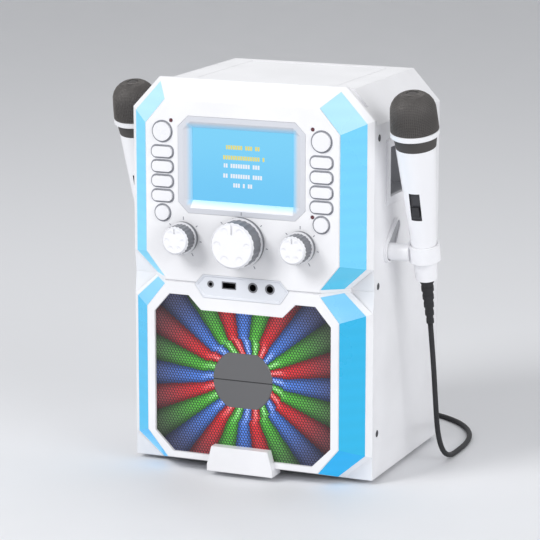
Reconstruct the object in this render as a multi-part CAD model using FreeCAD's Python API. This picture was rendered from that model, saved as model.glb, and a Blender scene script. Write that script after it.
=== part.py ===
import FreeCAD, Part
import math
import os

# Table-top karaoke machine: two-part front with light strips, disc player on top, two microphones.
# Lengths are millimetres. The model is drawn with the front face at y = 0 and the cabinet's underside
# at z = 0, and each piece is moved to the common origin, under the middle of the machine, as it is saved.

V = FreeCAD.Vector
X_AXIS = V(1, 0, 0)
Y_AXIS = V(0, 1, 0)
Z_AXIS = V(0, 0, 1)

# Cabinet
CABINET_WIDTH = 240.0
CABINET_DEPTH = 200.0
DECK_HEIGHT = 360.0
WALL = 3.0
TOP_CORNER_IN = 27.0
TOP_CORNER_DOWN = 30.0
DECK_WIDTH = 180.0
FOOT_HEIGHT = 4.0
FOOT_RADIUS = 9.0
FOOT_FROM_SIDE = 25.0
FOOT_FRONT_Y = 52.0
FOOT_REAR_FROM_BACK = 20.0
FIT = 0.15
RUNNING_FIT = 0.05

# Front outline: the flat face, and the rim where the bevel ends
FACE_WIDTH = 191.0
FACE_TOP = 347.0
FACE_BOTTOM = 8.5
RIDGE_TOP = 364.0
BEVEL_DEPTH = 25.0
PANEL_DEPTH = 29.0
WAIST_HEIGHT = 178.0
FACE_CORNER_IN = 19.5
FACE_CORNER_DOWN = 23.0
RIM_CORNER_IN = 27.0
RIM_CORNER_DOWN = 29.0
FACE_WAIST_IN = 18.3
RIM_WAIST_IN = 22.0
FACE_WAIST_GAP = 3.5
RIM_WAIST_GAP = 1.5
FACE_WAIST_RISE = 23.0
RIM_WAIST_RISE = 19.0
FACE_FOOT_IN = 20.0
FACE_FOOT_UP = 24.5
RIM_FOOT_IN = 28.0
RIM_FOOT_UP = 22.0
WAIST_GROOVE_DEPTH = 2.5
SEAM_HALF = 0.8
SEAM_DEPTH = 1.2

# Light strips on the bevels, with their lamp boards
STRIP_FRONT = 1.0
STRIP_BACK = 19.8
STRIP_THICK = 3.5
STRIP_BOARD_THICK = 1.6
STRIP_BOARD_FRONT = 5.0
STRIP_BOARD_BACK = 16.0

# Rest groove between the front ridge and the deck
GROOVE_FRONT_WALL = 2.0
GROOVE_WIDTH = 12.0
GROOVE_DEPTH = 15.0

# Screen
SCREEN_BORDER = 12.9
SCREEN_BOTTOM = 255.0
SCREEN_TOP = 322.2
SCREEN_RECESS = 3.6
BEZEL_FROM_KEYS = 5.8
BEZEL_BOTTOM = 243.0
BEZEL_TOP = 333.0
BEZEL_CORNER = 10.0
BEZEL_RIM = 5.0
BEZEL_DEPTH = 4.0
GLASS_OVERLAP = 3.0
GLASS_THICK = 2.0
DISPLAY_MARGIN = 8.0
DISPLAY_THICK = 9.0

# Buttons in two columns beside the screen
BUTTON_FROM_EDGE = 16.7
BUTTON_PROUD = 2.0
BUTTON_TRAVEL = 1.2
BUTTON_CLEARANCE = 0.35
BUTTON_FLANGE = 1.2
BUTTON_FLANGE_THICK = 1.6
BUTTON_SEAT_GAP = 0.3
POWER_BUTTON_Z = 317.4
POWER_BUTTON_RADIUS = 8.8
LOW_BUTTON_Z = 241.6
LOW_BUTTON_RADIUS = 6.9
KEY_TOP_Z = 298.6
KEY_PITCH = 13.7
KEY_COUNT = 4
KEY_WIDTH = 20.0
KEY_HEIGHT = 9.6
KEY_CORNER = 4.0
BOARD_THICK = 1.6
SWITCH_RADIUS = 2.0
SWITCH_HEIGHT = 2.0
BUTTON_BOARD_MARGIN = 7.0
BUTTON_BOARD_SIDE = 3.0

# Knobs and the controls behind them
KNOB_Z = 219.7
SIDE_KNOB_X = 58.1
SIDE_KNOB_RADIUS = 13.5
SIDE_KNOB_HEIGHT = 20.0
MAIN_KNOB_RADIUS = 21.7
MAIN_KNOB_HEIGHT = 22.0
KNOB_GAP = 0.5
KNOB_SKIRT = 1.5
KNOB_SKIRT_HEIGHT = 4.0
KNOB_CROWN = 1.5
KNOB_FLUTES = 24
KNOB_FLUTE_DEPTH = 0.6
KNOB_DIMPLES = 6
SIDE_DIMPLE_RADIUS = 2.4
MAIN_DIMPLE_RADIUS = 3.8
DIMPLE_DEPTH = 0.7
DIMPLE_SLOPE = 1.3
DIMPLE_RIM = 1.0
POINTER_WIDTH = 1.4
POINTER_DEPTH = 0.5
SHAFT_RADIUS = 3.0
SHAFT_LENGTH = 12.0
CONTROL_RADIUS = 8.5
CONTROL_DEPTH = 10.0

# Lamps beside the buttons
LAMP_RADIUS = 1.7
LAMP_LENGTH = 5.0
LAMP_FROM_BUTTONS = 8.8
LAMP_TOP_Z = 328.0
LAMP_LOW_Z = 248.0

# Socket plate at the waist
PORT_TOP_Z = 186.5
PORT_MID_Z = 176.5
PORT_BOTTOM_Z = 164.5
PORT_END_HALF = 38.5
PORT_MID_HALF = 47.0
PORT_RECESS = 1.2
PORT_THICK = 4.0
SOCKET_Z = 177.5
AUX_X = -31.5
USB_X = -13.0
MIC_JACK_X = (10.8, 27.8)
AUX_BORE = 1.8
MIC_BORE = 3.3
JACK_WALL = 1.4
JACK_LENGTH = 14.0
USB_WIDTH = 12.6
USB_HEIGHT = 5.2
USB_WALL = 0.8
USB_LENGTH = 13.0

# Speaker opening, grille and driver
GRILLE_FROM_EDGE = 7.1
GRILLE_TOP = 165.5
GRILLE_BOTTOM = 14.3
GRILLE_TOP_CORNER_IN = 15.4
GRILLE_TOP_CORNER_DOWN = 17.8
GRILLE_FOOT_CORNER = 18.6
NOTCH_TOP_HALF = 53.5
NOTCH_LOW_HALF = 40.8
NOTCH_Z = 152.5
GRILLE_LAP = 2.5
GRILLE_THICK = 1.2
DISC_PLATE_RADIUS = 30.0
DISC_PLATE_HALF = 26.2
DISC_PLATE_PROUD = 0.9
DISC_PLATE_LINE = 1.0
BAFFLE_THICK = 3.0
SPEAKER_Z = 88.0
SPEAKER_HOLE = 40.0
LAMP_RING_RADIUS = 50.0
RING_LAMPS = 24
RING_LAMP_RADIUS = 2.0
RING_LAMP_PROUD = 0.8
BASKET_RADIUS = 46.0
BASKET_DEPTH = 22.0
BASKET_WALL = 1.6
BASKET_REAR_RADIUS = 29.0
CONE_RADIUS = 38.0
CONE_EDGE_GAP = 0.5
CONE_FRONT = 2.4
CONE_DEPTH = 13.0
CONE_THICK = 1.2
VOICE_COIL_RADIUS = 11.0
VOICE_COIL_LENGTH = 11.0
VOICE_COIL_WALL = 1.0
VOICE_COIL_GAP = 0.7
DUST_CAP_RISE = 4.0
DUST_CAP_CREST = 3.0
MAGNET_RADIUS = 30.0
MAGNET_DEPTH = 14.0
MAGNET_SLOT = 9.0

# Lug at the foot of the front
LUG_TOP_HALF = 28.3
LUG_LOW_HALF = 33.0
LUG_TOP_Z = 25.0
LUG_SHOULDER_Z = 7.0
LUG_BOTTOM_Z = 1.0
LUG_PROUD = 6.0
LUG_BACK = 14.0

# Disc compartment on the deck
DISC_Y = 118.0
WELL_RADIUS = 62.5
WELL_WALL = 2.0
WELL_DEPTH = 20.0
LID_FROM_DECK_EDGE = 20.0
LID_FRONT_Y = 52.0
LID_HINGE_Y = 186.0
LID_THICK = 5.7
LID_GAP = 0.4
LID_SEAT_GAP = 0.3
LID_CORNER = 9.0
LEDGE_THICK = 3.5
LEDGE_REACH = 5.0
PIN_RADIUS = 1.4
PIN_IN_LID = 10.0
PIN_IN_DECK = 5.0
NOTCH_HALF = 14.0
NOTCH_LENGTH = 4.0
NOTCH_DEPTH = 4.5
HUB_HOLE = 17.0
TABLE_RADIUS = 15.5
TABLE_THICK = 1.8
TABLE_GAP = 0.8
NOSE_RADIUS = 7.4
NOSE_HEIGHT = 3.5
NOSE_TAPER = 1.0
SPINDLE_RADIUS = 1.5
CHASSIS_GAP = 6.0
CHASSIS_THICK = 2.0
CHASSIS_HALF_Y = 36.0
CHASSIS_LEFT = -36.0
CHASSIS_RIGHT = 76.0
POST_RADIUS = 3.0
MOTOR_RADIUS = 12.0
MOTOR_DEPTH = 16.0
LENS_X = 24.0
LENS_RADIUS = 4.0
LENS_RISE = 1.5
LENS_SLOT_MARGIN = 1.5
SLED_TRAVEL = 30.0
SLED_LENGTH = 20.0
SLED_HALF_Y = 22.0
SLED_GAP = 0.5
ROD_RADIUS = 1.5
ROD_SPREAD = 18.0
ROD_BLOCK = 4.0
ROD_BLOCK_GAP = 2.0
GEAR_RADIUS = 10.0
GEAR_TEETH = 20
GEAR_TOOTH = 1.0
GEAR_GAP = 0.4
GEAR_THICK = 2.6
GEAR_AHEAD = 6.0
RACK_WIDTH = 2.0
CHASSIS_POSTS = ((-30.0, 30.0), (-30.0, -30.0), (15.0, 33.0), (52.0, -30.0))

# Side hand grips
GRIP_FRONT_Y = 56.0
GRIP_REAR_Y = 146.0
GRIP_BELOW_DECK = 47.0
GRIP_HEIGHT = 60.0
GRIP_FRAME = 7.0
GRIP_PROUD = 1.5
GRIP_DEPTH = 27.0
GRIP_WALL = 2.0

# Case screws beside the front seam
SCREW_Y = 37.0
LOW_SCREW_Z = 42.0
SCREW_OVER_WAIST = 3.0
SCREW_BELOW_DECK = 42.0
SCREW_RADIUS = 1.5
SCREW_LENGTH = 11.0
SCREW_HEAD_RADIUS = 3.2
SCREW_HEAD_DEPTH = 1.6
SCREW_LUG_HALF = 7.0
SCREW_LUG_THICK = 11.0
SCREW_LUG_GAP = 0.3
SCREW_LUG_FRONT = 22.0
SCREW_LUG_BACK = 44.0

# Main board and the sockets on the back
MAIN_BOARD_HALF = 80.0
MAIN_BOARD_BOTTOM = 40.0
MAIN_BOARD_TOP = 140.0
STANDOFF_LENGTH = 6.0
STANDOFF_RADIUS = 3.0
STANDOFF_INSET = 8.0
REAR_SOCKET_Z = 62.0
REAR_SOCKET_RADIUS = 5.0
REAR_SOCKET_BORE = 3.4
REAR_SOCKET_X = (-48.0, -30.0, -12.0, 40.0)
CHIP_SIDE = 26.0
CHIP_THICK = 3.0

# Microphones, measured along their own line from the middle of the holder's ring
MIC_X = 154.0
RIGHT_MIC_Y = 66.0
RIGHT_MIC_BELOW_DECK = 149.0
LEFT_MIC_Y = 132.0
LEFT_MIC_BELOW_DECK = 164.0
MIC_LEAN = 14.5
MIC_TAIL = -27.0
MIC_TAIL_RADIUS = 10.2
MIC_GRIP_RADIUS = 12.0
MIC_GRIP_END = 10.0
MIC_SHOULDER = 105.0
MIC_SHOULDER_RADIUS = 18.5
COLLAR_TOP = 116.5
COLLAR_RADIUS = 20.0
HEAD_TOP = 156.5
HEAD_RADIUS = 21.6
HEAD_SIDE_RADIUS = 20.6
HEAD_SIDE_TOP = 139.0
HEAD_SHOULDER_RADIUS = 17.6
HEAD_SHOULDER = 149.0
HEAD_CROWN_RADIUS = 10.0
HEAD_CROWN = 154.9
BAND_RADIUS = 22.4
BAND_BOTTOM = 116.5
BAND_TOP = 121.5
SWITCH_LOW = 37.0
SWITCH_HIGH = 64.0
SWITCH_WIDTH = 10.0
SWITCH_BED_DEPTH = 1.6
SLIDER_LOW = 41.0
SLIDER_LENGTH = 9.0
SLIDER_WIDTH = 7.0
SLIDER_HEIGHT = 2.6
SLIDER_GAP = 0.2
RELIEF_LENGTH = 46.0
RELIEF_RADIUS = 6.4
RELIEF_END_RADIUS = 3.6
RELIEF_RIBS = 5
RELIEF_GROOVE = 0.6

# Holders on the sides; the foot's two rounds have their y and z from the middle of the ring, and a radius
HOLDER_BASE = ((-6.0, -1.0, 11.0), (15.0, 20.0, 6.5))
HOLDER_BASE_THICK = 3.0
HOLDER_FOOT_RIM = 2.0
HOLDER_FOOT_HOLLOW = 1.2
HOLDER_BOSS_RADIUS = 8.0
HOLDER_RING_WALL = 2.4
HOLDER_RING_HEIGHT = 16.0
HOLDER_RING_GAP = 0.4

# Cord of the right microphone
CORD_DIAMETER = 5.0
COIL_PITCH = 6.6
COIL_LAYER = 5.8
COIL_INNER = 18.0
COIL_TURNS = 3
COIL_LAYERS = 4
COIL_CENTRE_X = -40.0
COIL_REAR_Y = 288.0
COIL_TAIL = 55.0
TIE_WIDTH = 9.0
TIE_THICK = 1.0
TIE_GAP = 0.7
PLUG_RADIUS = 6.4
PLUG_LENGTH = 34.0
PLUG_BOOT_LENGTH = 18.0
PLUG_TIP_RADIUS = 3.15
PLUG_TIP_LENGTH = 31.0
PLUG_BOOT_WALL = 1.0
PLUG_STEP = 1.0
PLUG_GROOVE = 1.0
PLUG_END_RADIUS = 1.2
CORD_FIRST_RUN = 40.0
CORD_LAST_RUN = 46.0
ARC_SHARE = 0.45

# Corners of the cord: x, y and share of the height where its first run ends, then x and y on the floor
CORD_FALL = (
    (154.5, 100.5, 0.6),
    (155.0, 106.0, 0.29),
    (156.0, 118.0, 0.09),
)
CORD_ROUTE = (
    (157.0, 136.0),
    (158.0, 160.0),
    (157.0, 190.0),
    (149.0, 222.0),
    (130.0, 252.0),
    (98.0, 274.0),
    (57.0, 285.0),
)

HALF = CABINET_WIDTH / 2
BUTTON_X = FACE_WIDTH / 2 - BUTTON_FROM_EDGE
BEZEL_WIDTH = 2 * (BUTTON_X - KEY_WIDTH / 2 - BEZEL_FROM_KEYS)
SCREEN_WIDTH = BEZEL_WIDTH - 2 * SCREEN_BORDER
LAMP_X = BUTTON_X - LAMP_FROM_BUTTONS
GRILLE_HALF = FACE_WIDTH / 2 - GRILLE_FROM_EDGE
LID_HALF_WIDTH = DECK_WIDTH / 2 - LID_FROM_DECK_EDGE
BACK_INNER = CABINET_DEPTH - WALL
FLOOR_Z = -FOOT_HEIGHT
GROOVE_FLOOR = DECK_HEIGHT - GROOVE_DEPTH
WELL_FLOOR = DECK_HEIGHT - WELL_DEPTH
GRIP_TOP_Z = DECK_HEIGHT - GRIP_BELOW_DECK
GRIP_BOTTOM_Z = GRIP_TOP_Z - GRIP_HEIGHT
SHARED_TOP = min(DECK_HEIGHT, RIDGE_TOP)
SCREW_HEIGHTS = (LOW_SCREW_Z, WAIST_HEIGHT + SCREW_OVER_WAIST, SHARED_TOP - SCREW_BELOW_DECK)
RIGHT_MIC_Z = DECK_HEIGHT - RIGHT_MIC_BELOW_DECK
LEFT_MIC_Z = DECK_HEIGHT - LEFT_MIC_BELOW_DECK
CENTRE_Y = (CABINET_DEPTH - MAIN_KNOB_HEIGHT) / 2
FAR = 1000.0


# Helpers

def save(name, *solids):
    """Move solids to the common origin and write them as one piece or group."""
    moved = []
    for solid in solids:
        copy = solid.copy()
        copy.translate(V(0, -CENTRE_Y, FOOT_HEIGHT))
        moved.append(copy)
    shape = moved[0] if len(moved) == 1 else Part.makeCompound(moved)
    shape.exportStep("parts/" + name + ".step")
    volume = sum(solid.Volume for solid in solids)
    count = sum(len(solid.Solids) for solid in solids)
    print(name, "solids", count, "volume", round(volume, 1), "valid", shape.isValid())


def box(x0, x1, y0, y1, z0, z1):
    """Box between two corners."""
    return Part.makeBox(x1 - x0, y1 - y0, z1 - z0, V(x0, y0, z0))


def rod(radius, start, end):
    """Round bar between two points."""
    line = end - start
    return Part.makeCylinder(radius, line.Length, start, line)


def front_wire(points, y):
    """Closed outline in a plane parallel to the front face."""
    corners = [V(x, y, z) for x, z in points]
    return Part.makePolygon(corners + corners[:1])


def plate(points, y0, y1):
    """Plate with a front outline, from one depth to another."""
    return Part.Face(front_wire(points, y0)).extrude(V(0, y1 - y0, 0))


def taper(points0, y0, points1, y1):
    """Solid with flat sides between two front outlines of as many corners."""
    return Part.makeLoft([front_wire(points0, y0), front_wire(points1, y1)], True, True)


def turned(profile, axis_point, axis):
    """Solid of revolution from a closed profile of points."""
    face = Part.Face(Part.makePolygon(profile + profile[:1]))
    return face.revolve(axis_point, axis, 360)


def both_sides(half):
    """Whole outline from its right half, listed from top to bottom."""
    return half + [(-x, z) for x, z in reversed(half)]


def inset(points, distance):
    """Outline moved inwards by a distance on every side."""
    count = len(points)
    lines = []
    for i in range(count):
        (x0, z0), (x1, z1) = points[i], points[(i + 1) % count]
        length = math.hypot(x1 - x0, z1 - z0)
        normal = ((z1 - z0) / length, -(x1 - x0) / length)
        offset = normal[0] * x0 + normal[1] * z0 + distance
        lines.append((normal, offset))
    moved = []
    for i in range(count):
        (a, b), c = lines[i - 1]
        (d, e), f = lines[i]
        scale = a * e - b * d
        moved.append(((c * e - b * f) / scale, (a * f - c * d) / scale))
    return moved


def rounded(width, height, corner, x, z, y0, y1):
    """Plate with four rounded corners, from one depth to another."""
    w = width / 2 - corner
    h = height / 2 - corner
    solid = box(x - w - corner, x + w + corner, y0, y1, z - h, z + h)
    solid = solid.fuse(box(x - w, x + w, y0, y1, z - h - corner, z + h + corner))
    for sx in (-w, w):
        for sz in (-h, h):
            solid = solid.fuse(rod(corner, V(x + sx, y0, z + sz), V(x + sx, y1, z + sz)))
    return solid.removeSplitter()


def mirrored(shape):
    """The same piece on the other side."""
    return shape.mirror(V(0, 0, 0), X_AXIS)


# Front panels

def front_outline(depth):
    """Outline of the bevelled front at a depth behind the face, clockwise from the top right corner."""
    share = depth / BEVEL_DEPTH

    def between(face, rim):
        return face + (rim - face) * share

    half = between(FACE_WIDTH, CABINET_WIDTH) / 2
    top = between(FACE_TOP, RIDGE_TOP)
    bottom = between(FACE_BOTTOM, 0)
    waist_x = half - between(FACE_WAIST_IN, RIM_WAIST_IN)
    gap = between(FACE_WAIST_GAP, RIM_WAIST_GAP)
    rise = gap + between(FACE_WAIST_RISE, RIM_WAIST_RISE)
    return both_sides([
        (half - between(FACE_CORNER_IN, RIM_CORNER_IN), top),
        (half, top - between(FACE_CORNER_DOWN, RIM_CORNER_DOWN)),
        (half, WAIST_HEIGHT + rise),
        (waist_x, WAIST_HEIGHT + gap),
        (waist_x, WAIST_HEIGHT - gap),
        (half, WAIST_HEIGHT - rise),
        (half, bottom + between(FACE_FOOT_UP, RIM_FOOT_UP)),
        (half - between(FACE_FOOT_IN, RIM_FOOT_IN), bottom),
    ])


def rim_outline():
    """Outline of the flange behind the bevel, with square lower corners."""
    return both_sides([
        (HALF - RIM_CORNER_IN, RIDGE_TOP),
        (HALF, RIDGE_TOP - RIM_CORNER_DOWN),
        (HALF, 0),
    ])


def strip_bar(first, last, outer, inner, y0, y1):
    """Bar that follows corners first to last of the bevel, between two distances under its surface."""
    loops = []
    for depth in (y0, y1):
        outside = inset(front_outline(depth), outer)[first:last + 1]
        inside = inset(front_outline(depth), inner)[first:last + 1]
        loops.append(outside + inside[::-1])
    return taper(loops[0], y0, loops[1], y1)


def strip_corners():
    """First and last corners of the outline that the upper and the lower strip follow."""
    return ((0, 3), (4, 7))


def light_strips():
    strips = []
    for first, last in strip_corners():
        strip = strip_bar(first, last, 0, STRIP_THICK, STRIP_FRONT, STRIP_BACK)
        strips += [strip, mirrored(strip)]
    return strips


def strip_boards():
    boards = []
    for first, last in strip_corners():
        board = strip_bar(first + 1, last - 1, STRIP_THICK, STRIP_THICK + STRIP_BOARD_THICK,
                          STRIP_BOARD_FRONT, STRIP_BOARD_BACK)
        boards += [board, mirrored(board)]
    return boards


def screw_lugs():
    """Blocks inside the front panels that take the case screws."""
    outer = HALF - WALL - SCREW_LUG_GAP
    lugs = []
    for z in SCREW_HEIGHTS:
        at_waist = abs(z - WAIST_HEIGHT) < RIM_WAIST_RISE
        front = BEVEL_DEPTH + WAIST_GROOVE_DEPTH if at_waist else SCREW_LUG_FRONT
        lug = box(outer - SCREW_LUG_THICK, outer, front, SCREW_LUG_BACK,
                  z - SCREW_LUG_HALF, z + SCREW_LUG_HALF)
        lug = lug.cut(rod(SCREW_RADIUS + FIT, V(0, SCREW_Y, z), V(FAR, SCREW_Y, z)))
        lugs += [lug, mirrored(lug)]
    return lugs


def front_shell():
    """Both front panels in one, with the windows for the light strips."""
    rim = front_outline(BEVEL_DEPTH)
    shell = taper(front_outline(0), 0, rim, BEVEL_DEPTH)
    shell = shell.fuse(plate(rim_outline(), BEVEL_DEPTH, PANEL_DEPTH))
    hollow = taper(inset(front_outline(WALL), WALL), WALL, inset(rim, WALL), BEVEL_DEPTH)
    hollow = hollow.fuse(plate(inset(rim, WALL), BEVEL_DEPTH, PANEL_DEPTH))
    shell = shell.cut(hollow)
    shell = shell.fuse(screw_lugs())
    groove_reach = RIM_WAIST_GAP + RIM_WAIST_RISE
    groove = Part.Face(Part.makePolygon([
        V(HALF - RIM_WAIST_IN, BEVEL_DEPTH, WAIST_HEIGHT - groove_reach),
        V(HALF - RIM_WAIST_IN, BEVEL_DEPTH, WAIST_HEIGHT + groove_reach),
        V(HALF - RIM_WAIST_IN, BEVEL_DEPTH + WAIST_GROOVE_DEPTH, WAIST_HEIGHT),
        V(HALF - RIM_WAIST_IN, BEVEL_DEPTH, WAIST_HEIGHT - groove_reach),
    ])).extrude(V(RIM_WAIST_IN, 0, 0))
    shell = shell.cut([groove, mirrored(groove)])
    shell = shell.cut(box(-FAR, FAR, -FAR, SEAM_DEPTH, WAIST_HEIGHT - SEAM_HALF, WAIST_HEIGHT + SEAM_HALF))
    for first, last in strip_corners():
        window = strip_bar(first, last, -WALL, STRIP_THICK + FIT, STRIP_FRONT - FIT, STRIP_BACK + FIT)
        shell = shell.cut([window, mirrored(window)])
    return shell


def port_outline():
    return both_sides([
        (PORT_END_HALF, PORT_TOP_Z),
        (PORT_MID_HALF, PORT_MID_Z),
        (PORT_END_HALF, PORT_BOTTOM_Z),
    ])


def bezel_outline():
    half = BEZEL_WIDTH / 2
    return both_sides([
        (half - BEZEL_CORNER, BEZEL_TOP),
        (half, BEZEL_TOP - BEZEL_CORNER),
        (half, BEZEL_BOTTOM + BEZEL_CORNER),
        (half - BEZEL_CORNER, BEZEL_BOTTOM),
    ])


def screen_outline():
    half = SCREEN_WIDTH / 2
    return both_sides([(half, SCREEN_TOP), (half, SCREEN_BOTTOM)])


def grille_outline():
    return both_sides([
        (NOTCH_LOW_HALF, NOTCH_Z),
        (NOTCH_TOP_HALF, GRILLE_TOP),
        (GRILLE_HALF - GRILLE_TOP_CORNER_IN, GRILLE_TOP),
        (GRILLE_HALF, GRILLE_TOP - GRILLE_TOP_CORNER_DOWN),
        (GRILLE_HALF, GRILLE_BOTTOM + GRILLE_FOOT_CORNER),
        (GRILLE_HALF - GRILLE_FOOT_CORNER, GRILLE_BOTTOM),
    ])


def button_places():
    """Name, kind, x and z of each button, from the top down in each column."""
    places = []
    for side, x in (("left", -BUTTON_X), ("right", BUTTON_X)):
        places.append(("upper_button_" + side, "power", x, POWER_BUTTON_Z))
        for i in range(KEY_COUNT):
            places.append(("key_%s_%d" % (side, i + 1), "key", x, KEY_TOP_Z - i * KEY_PITCH))
        places.append(("lower_button_" + side, "low", x, LOW_BUTTON_Z))
    return places


def button_body(kind, x, z, grow, y0, y1):
    """A button's section, grown by a distance, between two depths."""
    if kind == "key":
        return rounded(KEY_WIDTH + 2 * grow, KEY_HEIGHT + 2 * grow, KEY_CORNER + grow, x, z, y0, y1)
    radius = POWER_BUTTON_RADIUS if kind == "power" else LOW_BUTTON_RADIUS
    return rod(radius + grow, V(x, y0, z), V(x, y1, z))


def lamp_places():
    return ((-LAMP_X, LAMP_TOP_Z), (LAMP_X, LAMP_TOP_Z), (LAMP_X, LAMP_LOW_Z))


def knob_places():
    """Name, x, radius, height and dimple radius of each knob."""
    return (
        ("knob_left", -SIDE_KNOB_X, SIDE_KNOB_RADIUS, SIDE_KNOB_HEIGHT, SIDE_DIMPLE_RADIUS),
        ("knob_centre", 0.0, MAIN_KNOB_RADIUS, MAIN_KNOB_HEIGHT, MAIN_DIMPLE_RADIUS),
        ("knob_right", SIDE_KNOB_X, SIDE_KNOB_RADIUS, SIDE_KNOB_HEIGHT, SIDE_DIMPLE_RADIUS),
    )


def upper_front_panel(shell):
    panel = shell.common(box(-FAR, FAR, -FAR, FAR, WAIST_HEIGHT, FAR))
    cuts = [plate(inset(bezel_outline(), -FIT), -WALL, 2 * WALL)]
    cuts.append(plate(inset(port_outline(), -FIT), -WALL, 2 * WALL))
    for name, kind, x, z in button_places():
        cuts.append(button_body(kind, x, z, BUTTON_CLEARANCE, -WALL, 2 * WALL))
    for x, z in lamp_places():
        cuts.append(rod(LAMP_RADIUS + FIT, V(x, -WALL, z), V(x, 2 * WALL, z)))
    for name, x, radius, height, dimple in knob_places():
        cuts.append(rod(SHAFT_RADIUS + FIT, V(x, -WALL, KNOB_Z), V(x, 2 * WALL, KNOB_Z)))
    return panel.cut(cuts)


def lower_front_frame(shell):
    frame = shell.common(box(-FAR, FAR, -FAR, FAR, -FAR, WAIST_HEIGHT))
    frame = frame.cut(plate(grille_outline(), -WALL, 2 * WALL))
    frame = frame.cut(plate(inset(port_outline(), -FIT), -WALL, 2 * WALL))
    lug = plate(both_sides([
        (LUG_TOP_HALF, LUG_TOP_Z),
        (LUG_LOW_HALF, LUG_SHOULDER_Z),
        (LUG_LOW_HALF, LUG_BOTTOM_Z),
    ]), -LUG_PROUD, LUG_BACK)
    under = plate(inset(front_outline(WALL), WALL), WALL, PANEL_DEPTH)
    return frame.fuse(lug.cut(under))


# Screen

def screen_bezel():
    bezel = plate(bezel_outline(), 0, BEZEL_DEPTH)
    mouth = inset(bezel_outline(), BEZEL_RIM)
    half = SCREEN_WIDTH / 2
    rounding = BEZEL_DEPTH - SCREEN_RECESS
    seat = both_sides([
        (half - rounding, SCREEN_TOP),
        (half, SCREEN_TOP - rounding),
        (half, SCREEN_BOTTOM + rounding),
        (half - rounding, SCREEN_BOTTOM),
    ])
    bezel = bezel.cut(taper(mouth, 0, seat, SCREEN_RECESS))
    return bezel.cut(plate(screen_outline(), SCREEN_RECESS - FIT, BEZEL_DEPTH))


def screen_glass():
    return plate(inset(screen_outline(), -GLASS_OVERLAP), BEZEL_DEPTH, BEZEL_DEPTH + GLASS_THICK)


def display_module():
    back = BEZEL_DEPTH + GLASS_THICK
    return plate(inset(screen_outline(), -DISPLAY_MARGIN), back, back + DISPLAY_THICK)


# Controls

FLANGE_FRONT = WALL + BUTTON_SEAT_GAP
FLANGE_BACK = FLANGE_FRONT + BUTTON_FLANGE_THICK
SWITCH_FRONT = FLANGE_BACK + BUTTON_TRAVEL + BUTTON_SEAT_GAP
BUTTON_BOARD_Y = SWITCH_FRONT + SWITCH_HEIGHT


def button(kind, x, z):
    """Button cap with the flange that keeps it behind the panel."""
    cap = button_body(kind, x, z, 0, -BUTTON_PROUD, FLANGE_BACK)
    return cap.fuse(button_body(kind, x, z, BUTTON_FLANGE, FLANGE_FRONT, FLANGE_BACK)).removeSplitter()


def button_boards():
    """One board behind each column, with a switch under each button and a post to the panel."""
    boards = []
    reach = KEY_WIDTH / 2 + BUTTON_BOARD_SIDE
    low = LOW_BUTTON_Z - LOW_BUTTON_RADIUS - BUTTON_BOARD_MARGIN
    high = POWER_BUTTON_Z + POWER_BUTTON_RADIUS + BUTTON_BOARD_MARGIN
    for side in (-1, 1):
        x = side * BUTTON_X
        board = box(x - reach, x + reach, BUTTON_BOARD_Y, BUTTON_BOARD_Y + BOARD_THICK, low, high)
        for name, kind, bx, bz in button_places():
            if bx == x:
                board = board.fuse(rod(SWITCH_RADIUS, V(bx, SWITCH_FRONT, bz), V(bx, BUTTON_BOARD_Y, bz)))
        for z in (low + SWITCH_RADIUS, high - SWITCH_RADIUS):
            board = board.fuse(rod(SWITCH_RADIUS, V(x, WALL, z), V(x, BUTTON_BOARD_Y, z)))
        boards.append(board)
    return boards


def knob_dimples(x, face_radius, front, radius):
    """Dishes that hollow a ring of dimples in a knob's face, either side of its pointer."""
    reach = face_radius - DIMPLE_RIM - radius
    dishes = []
    for i in range(KNOB_DIMPLES):
        angle = 2 * math.pi * (i + 0.5) / KNOB_DIMPLES
        middle = V(x + reach * math.sin(angle), front, KNOB_Z + reach * math.cos(angle))
        dishes.append(Part.makeCone(radius, radius - DIMPLE_SLOPE, DIMPLE_DEPTH, middle, Y_AXIS))
    return dishes


def knob(x, radius, height, dimple):
    """Fluted knob on a wider skirt, with a pointer groove on its face, and its shaft."""
    step = math.pi / KNOB_FLUTES
    rim = []
    for i in range(2 * KNOB_FLUTES):
        r = radius - KNOB_FLUTE_DEPTH * (i % 2)
        rim.append((x + r * math.cos(i * step), KNOB_Z - r * math.sin(i * step)))
    front = -height
    skirt_front = -KNOB_GAP - KNOB_SKIRT_HEIGHT
    body = plate(rim, front + KNOB_CROWN, skirt_front)
    body = body.fuse(Part.makeCone(radius - KNOB_FLUTE_DEPTH - KNOB_CROWN, radius - KNOB_FLUTE_DEPTH,
                                   KNOB_CROWN, V(x, front, KNOB_Z), Y_AXIS))
    body = body.fuse(rod(radius + KNOB_SKIRT, V(x, skirt_front, KNOB_Z), V(x, -KNOB_GAP, KNOB_Z)))
    cuts = knob_dimples(x, radius - KNOB_FLUTE_DEPTH - KNOB_CROWN, front, dimple)
    pointer = box(x - POINTER_WIDTH / 2, x + POINTER_WIDTH / 2, front, front + POINTER_DEPTH,
                  KNOB_Z + radius / 2, KNOB_Z + radius)
    shaft = rod(SHAFT_RADIUS, V(x, -KNOB_GAP, KNOB_Z), V(x, SHAFT_LENGTH, KNOB_Z))
    return body.cut(cuts + [pointer]).fuse(shaft)


def potentiometers():
    """Rotary controls on the back of the panel, each with a running bore for its knob's shaft."""
    controls = []
    for name, x, radius, height, dimple in knob_places():
        control = rod(CONTROL_RADIUS, V(x, WALL, KNOB_Z), V(x, WALL + CONTROL_DEPTH, KNOB_Z))
        bore = rod(SHAFT_RADIUS + RUNNING_FIT, V(x, WALL, KNOB_Z), V(x, SHAFT_LENGTH + FIT, KNOB_Z))
        controls.append(control.cut(bore))
    return controls


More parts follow.
